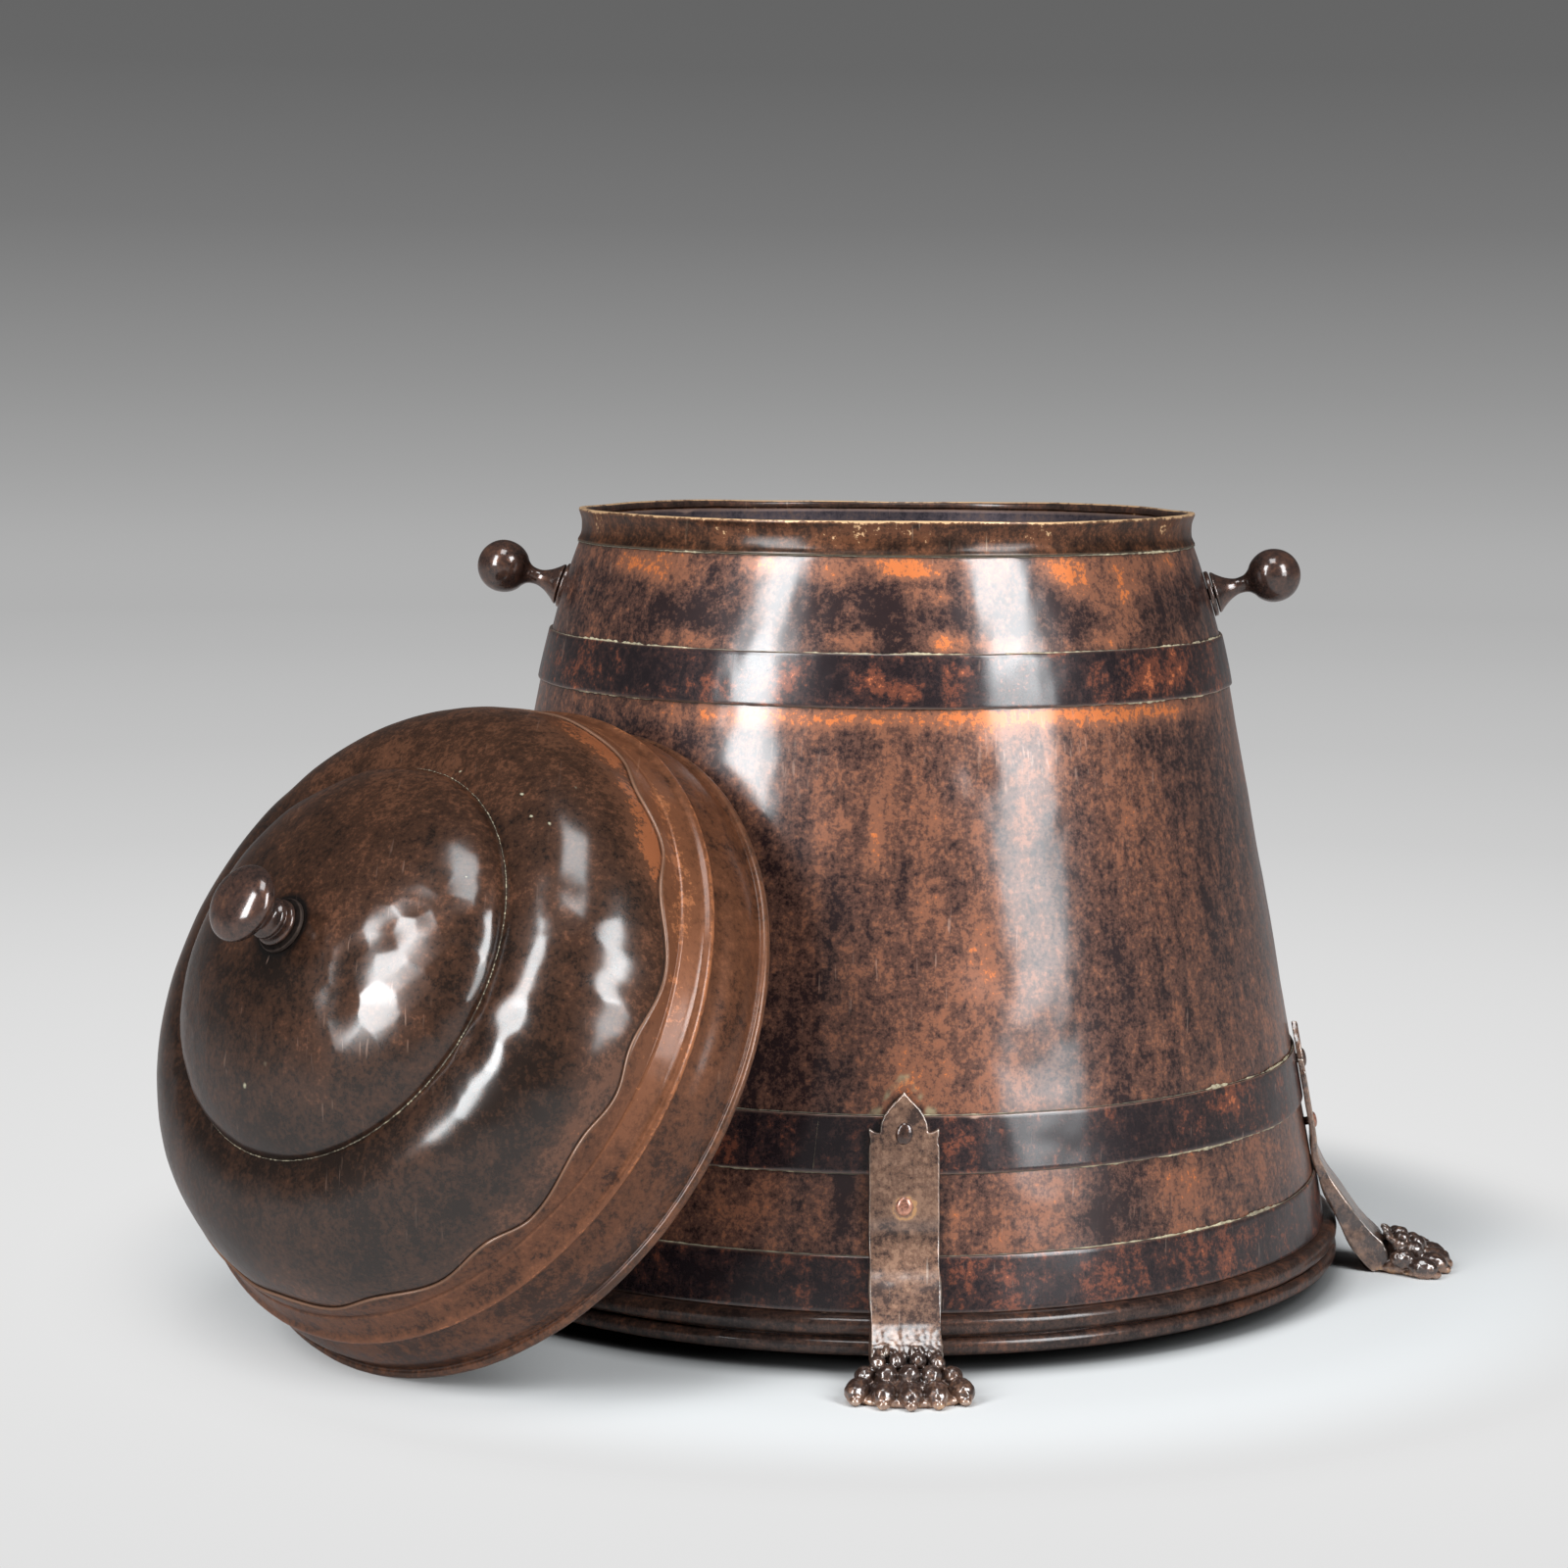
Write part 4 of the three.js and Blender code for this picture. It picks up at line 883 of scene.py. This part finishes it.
def makeRivet(side, place, degrees, z):
    s = rivetShape
    out, r, inside = s["stand"], s["radius"], s["inside"]  # along the wall's normal
    head = smoothLine([(0, out + s["rise"]), (r * 0.45, out + s["rise"] * 0.9), (r * 0.82, out + s["rise"] * 0.55),
                       (r, out + 0.1)], 4)
    tail = [(2.1, out - 0.3), (2.1, inside), (r, inside), (r * 0.7, inside - 1.2), (0, inside - 1.6)]
    seed = degrees * 0.1 + z

    def handMade(angle, rr, zz):
        return rr * (1 + 0.06 * np.cos(2 * angle + seed) + 0.05 * wobble(angle, zz, (1, 0.4), seed)), zz

    made = turned("rivet_" + side + "_" + place, head + [Vector(p) for p in tail], 28, handMade)
    stretch = 1.22 if place == "upper" else 1.0  # the upper head is beaten oval
    placed(made, onWall(degrees, z) @ Matrix.Diagonal((stretch, 1, 1, 1)))
    finish = finishes["rivet" if place == "lower" else "knob"]
    finished(made, finish, "bin", "rivet_copper", "leg_rivet_" + side + "_" + place)


for side, degrees in legShape["azimuths"].items():
    for place, z in rivetShape["heights"].items():
        makeRivet(side, place, degrees, z)

knobShape = {
    "azimuths": {"right": -3, "left": 177}, "height": 332.5, "reach": 33.6, "ball": 13.4, "waist": 4.0, "flare": 10.4,
    "washer": 11.6, "washerThick": 2.4,
}


def makeSideKnob(side, degrees):
    k = knobShape
    start, flare = k["washerThick"] + 0.5, k["flare"]
    ball = arc(range(-50, 91, 5), k["ball"], 0, k["reach"])
    ball[-1] = (0, ball[-1][1])
    stem = smoothLine([(flare - 0.4, start), (flare, start + 0.9), (8.4, start + 3.2), (5.9, start + 6.8),
                       (4.3, start + 10.6), (k["waist"], start + 13.4), (4.6, start + 16.6), (6.4, start + 18.9),
                       ball[0]], 4)
    tail = [(0, -3.1), (3.6, -3.1), (5.2, -1.9), (3, -1.8), (3, start)]
    outline = [Vector(p) for p in tail] + stem + [Vector(p) for p in ball[1:]]

    def handMade(angle, r, z):
        return r * (1 + 0.012 * wobble(angle, z, (1, 0.1), degrees)), z

    made = placed(turned("sideKnob." + side, outline, 64, handMade), onWall(degrees, k["height"]))
    finished(made, finishes["knob"], "bin", "turned_bronze", "handle_" + side)
    rim, thick = k["washer"], k["washerThick"]
    washer = rounded([(3.4, 0.1, 0), (rim, 0.1, 0.2), (rim, thick - 0.5, 0.6), (rim - 1.4, thick, 0.5),
                      (3.4, thick, 0)], 0.3)
    made = placed(turned("knobWasher." + side, divided(washer, 2), 64), onWall(degrees, k["height"]))
    finished(made, finishes["knob"], "bin", "blackened", "handle_washer_" + side)


for side, degrees in knobShape["azimuths"].items():
    makeSideKnob(side, degrees)
print("rivets and knobs done")

# the lid, in its own frame: rim plane at z = 0, knob towards +Z
lidShape = {
    "place": (-180.586, -183.125, 131.966), "azimuth": 229.0, "tilt": 29.2, "sheet": 1.2, "sides": 480,
    "dome": ((145, 46), (145, 66), (129.3, 100), (93.3, 100)),
    "crown": ((93.3, 100.2), (93.3, 117.3), (50, 140), (0, 140)),
    "dents": [  # degrees round, radius, width, depth
        (-25, 45, 13, 0.9), (-34, 52, 10, 0.5), (6, 53, 12, 0.8), (-9, 40, 10, 0.5), (20, 70, 13, 0.5),
        (10, 85, 10, 0.4), (-15, 101, 11, 0.9), (-5, 112, 10, 0.8), (-11, 124, 10, 0.7), (-2, 124, 8, 0.4),
        (23, 121, 12, 0.5), (8, 126, 10, 0.5), (9, 139, 9, 0.6), (60, 80, 16, 0.5), (-70, 80, 18, 0.6),
        (-90, 110, 16, 0.6), (120, 90, 18, 0.6), (180, 60, 18, 0.6), (-140, 110, 18, 0.6), (140, 125, 12, 0.5)],
    "hammered": [  # degrees round, radius, width
        (-15, 105, 36), (10, 130, 30), (-22, 48, 30), (12, 70, 30), (-60, 110, 30), (100, 110, 40), (-140, 90, 40)],
    "lapCrests": [  # degrees round and rise of the hammered edge, at each crest and hollow
        (-177, 2), (-163, -3), (-148, 3), (-134, -1.5), (-121, 2), (-107, -3), (-93, 2.5), (-80, -1.5), (-69, 2.4),
        (-56, -2.6), (-44, 2), (-35, -3.6), (-19, 2.4), (-10, -1.0), (-1.5, 2.6), (12, -4), (28, 2.8), (37, -1),
        (50, 3.6), (62, -1.5), (75, 1.5), (88, -2), (101, 2), (114, -2.8), (128, 3), (141, -2), (154, 2.5),
        (168, -2.5)],
}
seamRadius, domeTop = lidShape["dome"][3]
crownTop = lidShape["crown"][3][1]
tangBore = 3.4  # hole for the knob's tang
skirtShape = {
    "rollRadius": 2.4, "rollCentre": 157.6, "wireRadius": 0.9, "lapFoot": 46.0, "lapCover": 9.0,
    "cove": [(156.4, 5.5), (156.7, 12), (155.4, 19), (153.2, 25), (152.1, 29)],
    "cordon": (154.3, 32.6, 2.6), "aboveCordon": [(150.6, 38), (148.9, 42), (147.3, 46)],
}


def lidMatrix():
    s = lidShape
    azimuth, tilt = math.radians(s["azimuth"]), math.radians(s["tilt"])
    out = Vector((math.cos(tilt) * math.cos(azimuth), math.cos(tilt) * math.sin(azimuth), math.sin(tilt)))
    across = Vector((-math.sin(azimuth), math.cos(azimuth), 0))
    up = out.cross(across)
    turn = Matrix((across, up, out)).transposed().to_4x4()
    return Matrix.Translation(Vector(s["place"]) * mm) @ turn


lidPlace = lidMatrix()


def onLid(piece, material, slot, *nodes):
    return finished(placed(piece, lidPlace), material, "lid", slot, *nodes)


def flat(degrees, radius):
    return radius * math.cos(math.radians(degrees)), radius * math.sin(math.radians(degrees))


def lidDent(angle, r):
    # how far the sheet is pushed in or out, by its place seen from above
    x, y = r * np.cos(angle), r * np.sin(angle)
    away = 0.55 * softNoise(x * 0.014 + 5, y * 0.014 + 2, 1.3) + 0.3 * softNoise(x * 0.045 + 1, y * 0.045 + 7, 3.3)
    zone = np.full(x.shape, 0.12)
    for degrees, radius, width, depth in lidShape["dents"]:
        cx, cy = flat(degrees, radius)
        reach = ((x - cx) ** 2 + (y - cy) ** 2) / width ** 2
        away = away - depth * (1 - 1.1 * reach) * np.exp(-reach)
    for degrees, radius, width in lidShape["hammered"]:
        cx, cy = flat(degrees, radius)
        zone = np.maximum(zone, np.exp(-((x - cx) ** 2 + (y - cy) ** 2) / width ** 2))
    return away + zone * 0.55 * (hammerCells(x * 0.09, y * 0.09) ** 2 - 0.2)


def lapRise(angle):
    # height of the lap's hammered edge against its mean, eased between crests and hollows
    degrees = (np.degrees(angle) + 177) % 360 - 177
    places = np.array([p for p, rise in lidShape["lapCrests"]] + [lidShape["lapCrests"][0][0] + 360])
    rises = np.array([rise for p, rise in lidShape["lapCrests"]] + [lidShape["lapCrests"][0][1]])
    k = np.clip(np.searchsorted(places, degrees, side="right") - 1, 0, len(places) - 2)
    t = (degrees - places[k]) / (places[k + 1] - places[k])
    return rises[k] + (rises[k + 1] - rises[k]) * (1 - np.cos(math.pi * t)) / 2


downhill = lidPlace.to_3x3().inverted() @ Vector((0, 0, -1))
lowSide = math.atan2(downhill.y, downhill.x)


def lidWearAndLight(angle, r, z):
    x, y = r * np.cos(angle), r * np.sin(angle)
    shade = 0.09 * np.cos(angle - lowSide) * np.clip(r / 100, 0, 1)  # painted shade: the side that leans down is darker
    patchy = 0.6 + 0.8 * softNoise(x * 0.02, y * 0.02, z * 0.02)
    # rubbed copper round the lap's top, with painted light added on the side that faces the right-hand lamps
    edge = (0.2 + 0.26 * bump(turnAway(angle, 38), 0.7)) * bump(z - 60, 11) * patchy
    return edge + 0.1 * softNoise(x * 0.03, y * 0.03, z * 0.03) - 0.04 - shade


lidSpecks = [  # degrees round, radius, size and strength
    (53.4, 110.8, 0.75, 1), (45.8, 110.4, 0.7, 0.8), (41.7, 116.6, 0.75, 1), (49.9, 129.4, 0.7, 1),
    (-78.9, 60, 2.2, 0.26), (-90.6, 69.2, 1.5, 0.5), (75, 98, 0.6, 0.7), (30, 84, 0.5, 0.6)]


def lidPale(angle, r, z):
    # drops of paint and lime
    x, y = r * np.cos(angle), r * np.sin(angle)
    total = np.zeros(x.shape)
    for degrees, radius, size, strength in lidSpecks:
        cx, cy = flat(degrees, radius)
        total += strength * bump(np.hypot(x - cx, y - cy), size)
    return total * (z > 40)


def lidDirtAndShadow(angle, r, z):
    # dark round the knob's foot, and a painted shadow in a line just above the lap's hammered edge
    foot = 0.95 * np.exp(-np.maximum(0, r - 13.5) / 2.6) * (z > 120)
    top = skirtShape["lapFoot"] + skirtShape["lapCover"] + lapRise(angle)
    return np.maximum(foot, 0.8 * np.exp(-abs(z - top - 0.4) / 0.7))


lidWear = {"wearAndLight": lidWearAndLight, "dirtAndShadeWeight": lidDirtAndShadow, "pale": lidPale}


def makeCrown():
    line = [p for p in bezier(*lidShape["crown"], 110) if p.x > tangBore]
    inside = offset(line, -lidShape["sheet"])[::-3]

    def shape(angle, r, z):
        push = lidDent(angle, r) * np.clip((r - 14) / 8, 0, 1) * np.clip((z - domeTop) / 6, 0.15, 1)
        lean = np.minimum(1, r / seamRadius) ** 3
        return r + push * lean, z + push * (1 - 0.5 * lean)

    outline = line + [Vector((tangBore, crownTop))] + inside
    made = turned("lidCrownCap", outline, lidShape["sides"], shape, lidWear)
    onLid(made, finishes["lid"], "lid_copper", "lid_crown")


def makeDome():
    line = bezier(*lidShape["dome"], 84)
    inside = offset(line, -lidShape["sheet"])
    under = domeTop - lidShape["sheet"]
    ledge = [(91, domeTop), (88.6, domeTop), (86.3, domeTop), (86.3, under), (90, under)]  # carries the crown

    def shape(angle, r, z):
        push = lidDent(angle, r) * np.clip((r - 92) / 6, 0.1, 1) * np.clip((z - 44) / 14, 0, 1)
        lean = np.clip((r - 93) / 52, 0, 1) ** 1.5
        return r + push * lean, z + push * (1 - lean)

    outline = line + [Vector(p) for p in ledge] + inside[::-3]
    made = turned("lidDomeRing", outline, lidShape["sides"], shape, lidWear)
    onLid(made, finishes["lid"], "lid_copper", "lid_dome")


def makeSkirt():
    # one long outline: roll, cove, cordon and lap outside, then back down the inside to the bore of the roll
    s = skirtShape
    sheet, foot = lidShape["sheet"], s["lapFoot"]
    roll = arc(range(180, 470, 24), s["rollRadius"], s["rollCentre"])
    bore = arc(range(470, 179, -36), s["rollRadius"] - sheet, s["rollCentre"])
    cr, ch, half = s["cordon"]
    cordon = [(152.0, ch - half - 0.6), (152.5, ch - half), (153.7, ch - half * 0.62), (cr, ch),
              (153.6, ch + half * 0.62), (152.2, ch + half), (151.4, ch + half + 0.7)]
    outside = smoothLine([roll[-1]] + s["cove"], 4) + smoothLine(cordon, 3) + smoothLine(s["aboveCordon"], 3)
    inside = [(p[0] - sheet, p[1]) for p in outside[::-2]]
    # the lap follows the dented dome up to its wavy edge
    angle = turnsOf(lidShape["sides"])[:, None]
    top = foot + s["lapCover"] + lapRise(angle)
    a, b, c, d = (np.array(p) for p in lidShape["dome"])
    t = np.linspace(0, 1, 400)[:, None]
    curve = a * (1 - t) ** 3 + b * 3 * t * (1 - t) ** 2 + c * 3 * t * t * (1 - t) + d * t ** 3
    z = foot + (top - foot) * np.linspace(0, 1, 14)[None, :] ** 0.9
    under = np.interp(z, curve[:, 1], curve[:, 0]) + 0.12
    under += lidDent(angle, under) * np.clip((z - 44) / 14, 0, 1)
    lean = np.interp(z, curve[:-1, 1], np.arctan2(-np.diff(curve[:, 0]), np.diff(curve[:, 1])))
    lift = (sheet + 0.25) * np.array([1.0] * 12 + [0.95, 0.6])[None, :]  # thinner at the hammered edge
    outer = under + lift * np.cos(lean)
    rise = z + lift * np.sin(lean)

    def fixed(points):
        return [np.broadcast_to(np.array([[p[k] for p in points]]), (len(angle), len(points))) for k in (0, 1)]

    parts = [fixed(roll), fixed(outside), (outer, rise), (under[:, ::-1], z[:, ::-1]), fixed(inside), fixed(bore)]
    r, z = (np.concatenate([part[k] for part in parts], 1) for k in (0, 1))
    # the lap's hammered edge painted dark as a shadow line
    edge = np.zeros(r.shape)
    first = len(roll) + len(outside)
    edge[:, first + 12:first + 16] = 1.0
    ripple = 0.18 * wobble(angle, z, (6, 0.03), 141) + 0.07 * wobble(angle, z, (30, 0.1), 143)
    wearAndLight = 0.3 * bump(z - ch, 1.6) + 0.1 * bump(z - foot, 8) + 0.1 * wobble(angle, z, (5, 0.03), 151) - 0.1
    # painted light: the side of the skirt that faces the right-hand lamps is painted warmer
    wearAndLight = wearAndLight + (0.14 * bump(z - foot, 12) + 0.14) * bump(turnAway(angle, 34), 0.9)
    r = r + ripple * np.clip((50 - z) / 6, 0, 1)
    made = spun("lidSkirtEdge", np.broadcast_to(angle, r.shape), r, z, {"wearAndLight": wearAndLight, "dirtAndShadeWeight": edge * 0.55})
    onLid(made, finishes["skirt"], "lid_copper", "lid_skirt")
    wire = arc(range(0, 360, 45), s["wireRadius"], s["rollCentre"])
    onLid(turned("lidRimWire", wire, 240), finishes["black"], "blackened", "lid_rim_wire")


makeCrown()
makeDome()
makeSkirt()

seamShape = {"radius": 93.7, "height": 100.3, "size": 0.22}


def makeCrownSeam():
    # dotted solder where the crown meets the dome
    s = seamShape
    angle = turnsOf(1000)
    size = s["size"] * (0.75 + 0.8 * wobble(angle, 0, (12, 1), 163) + 1.1 * wobble(angle, 0, (150, 1), 167))
    r = s["radius"] + 0.2 * wobble(angle, 0, (60, 1), 161)
    dull = {"dirtAndShadeWeight": lambda angle, r, z: 0.95 - 1.7 * wobble(angle, 0, (150, 1), 167)}
    made = bead("crownSeamSolder", angle, r, np.full(r.shape, s["height"]), np.clip(size, 0.05, 0.6), dull)
    onLid(made, finishes["solder"], "lid_copper")


makeCrownSeam()

lidKnobShape = {"foot": 140.4, "reach": 24.5, "head": 17.7, "half": 8.6}


def makeLidKnob():
    k = lidKnobShape
    start = k["foot"] + 1.4
    head = arc(range(-60, 91, 5), k["head"], 0, crownTop + k["reach"], k["half"])
    head[-1] = (0, head[-1][1])
    stem = smoothLine([(9.6, start), (10.6, start + 1.4), (10.0, start + 2.8), (8.2, start + 3.6), (8.0, start + 4.3),
                       (9.4, start + 5.4), (9.5, start + 7.4), (8.0, start + 9.0), (7.2, start + 11), head[0]], 4)
    tail = [(0, 137), (3.6, 137), (5.2, 138.4), (3, 138.5), (3, start)]
    outline = [Vector(p) for p in tail] + stem + [Vector(p) for p in head[1:]]
    onLid(turned("lidKnobTurned", outline, 72), finishes["knob"], "turned_bronze", "lid_knob")
    washer = rounded([(tangBore, 140.1, 0), (12.8, 139.7, 0.3), (12.4, 141.3, 0.5), (tangBore, 141.7, 0)], 0.3)
    made = turned("lidKnobWasherDished", divided(washer, 2), 64)
    onLid(made, finishes["black"], "blackened", "lid_knob_washer")


makeLidKnob()
print("lid done")

# floor, backdrop, lights and camera, in metres
studio = {
    "floor": legShape["floor"] * mm, "reach": 5.2, "wall": 3.2, "bend": 0.5, "sides": 96,
    "floorGreysPaintedPool": [(0.0, 0.64), (0.056, 0.65), (0.08, 0.78), (0.19, 0.715), (0.33, 0.61), (0.5, 0.54), (0.8, 0.47),
                 (1.0, 0.44)],  # along the floor, as shares of its reach; they paint a pool of light round the object that dims further out
    "highGreys": [(0.0, 0.42), (0.14, 0.37), (0.27, 0.29), (0.48, 0.185), (0.68, 0.135), (1.0, 0.115)],
    "highReach": 1.6,  # height of the last of those greys
    "paintedShadowUnderBin": ((0.1, 0.1, 0.1), 0.222, 0.25),  # painted shadow on the floor under the bin's edge: its grey and where that fades out
    "seenFrom": (0.3, 0.4),  # the floor further out is seen at its own grey, nearer it is lit
    "lampColour": (0.94, 0.98, 1.0), "air": (0.97, 0.98, 1.0), "airStrength": 0.08,
}


def setRamp(ramp, stops):
    band = ramp.color_ramp
    while len(band.elements) < len(stops):
        band.elements.new(0.5)
    for element, (place, grey) in zip(band.elements, stops):
        element.position = place
        element.color = (grey, grey, grey, 1)


def backdropMaterial():
    # lit floor near the object, then a floor painted with a pool of light that dims further out, fading into a grey
    # wall that is darker towards its top
    s = studio
    made = bpy.data.materials.new("studioBackdrop")
    made.use_nodes = True
    tree = made.node_tree
    tree.nodes.clear()
    out = addNode(tree, "OutputMaterial")
    place = addNode(tree, "NewGeometry").outputs["Position"]
    split = addNode(tree, "SeparateXYZ", None, {0: place})
    away = maths(tree, "SQRT", maths(tree, "ADD", maths(tree, "POWER", split.outputs[0], 2.0),
                                     maths(tree, "POWER", split.outputs[1], 2.0)))
    far = addNode(tree, "ValToRGB", None, {0: maths(tree, "DIVIDE", away, s["reach"])})
    setRamp(far, s["floorGreysPaintedPool"])
    high = addNode(tree, "ValToRGB", None, {0: maths(tree, "DIVIDE", split.outputs[2], s["highReach"])})
    setRamp(high, s["highGreys"])
    wallShare = between(tree, split.outputs[2], -0.006, 0.25)
    grey = blended(tree, wallShare, far.outputs[0], high.outputs[0])
    # the floor is painted dark under the bin's edge, as its shadow
    dark, low, high = s["paintedShadowUnderBin"]
    grey = blended(tree, between(tree, away, low, high), dark, grey)
    lit = addNode(tree, "BsdfDiffuse", None, {"Color": grey})
    glow = addNode(tree, "Emission", None, {"Color": grey, "Strength": 1.0})
    path = addNode(tree, "LightPath")
    seen = maths(tree, "MAXIMUM", path.outputs["Is Camera Ray"],
                 maths(tree, "MAXIMUM", path.outputs["Is Glossy Ray"], path.outputs["Is Transmission Ray"]))
    share = maths(tree, "MULTIPLY", seen, between(tree, away, *s["seenFrom"]))
    mixed = addNode(tree, "MixShader", None, {0: share, 1: lit.outputs[0], 2: glow.outputs[0]})
    tree.links.new(mixed.outputs[0], out.inputs["Surface"])
    return made


def makeStage():
    # a round floor that curves up into a wall, the same from every side
    s = studio
    floor, reach, wall, bend = (s[key] / mm for key in ("floor", "reach", "wall", "bend"))
    line = [(reach * k / 12, floor) for k in range(12)]
    line += arc(range(-90, 1, 9), bend, reach, floor + bend) + [(reach + bend, wall)]
    line = np.array(line) * mm
    angle = turnsOf(s["sides"])[:, None]
    r, z = np.broadcast_to(line[:, 0], (s["sides"], len(line))), np.broadcast_to(line[:, 1], (s["sides"], len(line)))
    stage = meshPiece("studioFloor", np.stack((r * np.cos(angle), r * np.sin(angle), z), -1),
                      ringFaces(s["sides"], len(line))[:, :-1])
    stage.data.materials.append(backdropMaterial())


makeStage()

lights = {
    # place, size, power in watts, aimed at
    "boxLeft": ((-1.42, -1.62, 1.66), (0.60, 1.15), 37.0, (0, 0, 0.22)),
    "boxRight": ((1.44, -1.52, 1.56), (0.72, 1.2), 42.0, (0, 0, 0.2)),
    "lowLeft": ((-1.42, -1.62, 0.78), (0.60, 0.6), 20.0, (0, 0, 0.2)),
    "lowRight": ((1.44, -1.52, 0.72), (0.72, 0.66), 12.0, (0, 0, 0.2)),
    "boxTop": ((-0.12, -0.84, 2.4), (0.8, 0.85), 17.0, (0, 0, 0)),
}

for name, (place, size, power, target) in lights.items():
    lamp = bpy.data.lights.new(name, "AREA")
    lamp.shape = "RECTANGLE"
    lamp.size, lamp.size_y = size
    lamp.energy, lamp.color = power, studio["lampColour"]
    holder = added(name, lamp)
    towards = (Vector(target) - Vector(place)).to_track_quat("-Z", "Y")
    holder.matrix_world = Matrix.Translation(place) @ towards.to_matrix().to_4x4()
    holder.visible_camera = False

world = bpy.data.worlds.new("studioAir")
world.use_nodes = True
air = world.node_tree.nodes["Background"].inputs
air["Color"].default_value = (*studio["air"], 1)
air["Strength"].default_value = studio["airStrength"]
bpy.context.scene.world = world

view = {
    "place": (0, -1.7736, 0.4366), "lens": 80.35, "pitch": 6.551, "yaw": -1.393, "roll": 0.476,
    "shift": (-0.0094, 0.0003),
}


def makeCamera():
    pitch, yaw, roll = (math.radians(view[key]) for key in ("pitch", "yaw", "roll"))
    ahead = Vector((math.sin(yaw) * math.cos(pitch), math.cos(yaw) * math.cos(pitch), -math.sin(pitch)))
    right = Vector((math.cos(yaw), -math.sin(yaw), 0))
    up = right.cross(ahead)
    right, up = (right * math.cos(roll) + up * math.sin(roll), up * math.cos(roll) - right * math.sin(roll))
    lens = bpy.data.cameras.new("photoCamera")
    lens.lens, lens.sensor_width = view["lens"], 36
    lens.shift_x, lens.shift_y = view["shift"]
    camera = added("photoCamera", lens)
    camera.matrix_world = Matrix.Translation(view["place"]) @ Matrix((right, up, -ahead)).transposed().to_4x4()
    bpy.context.scene.camera = camera


makeCamera()
bpy.context.scene.view_settings.view_transform = "Standard"
print("studio done")
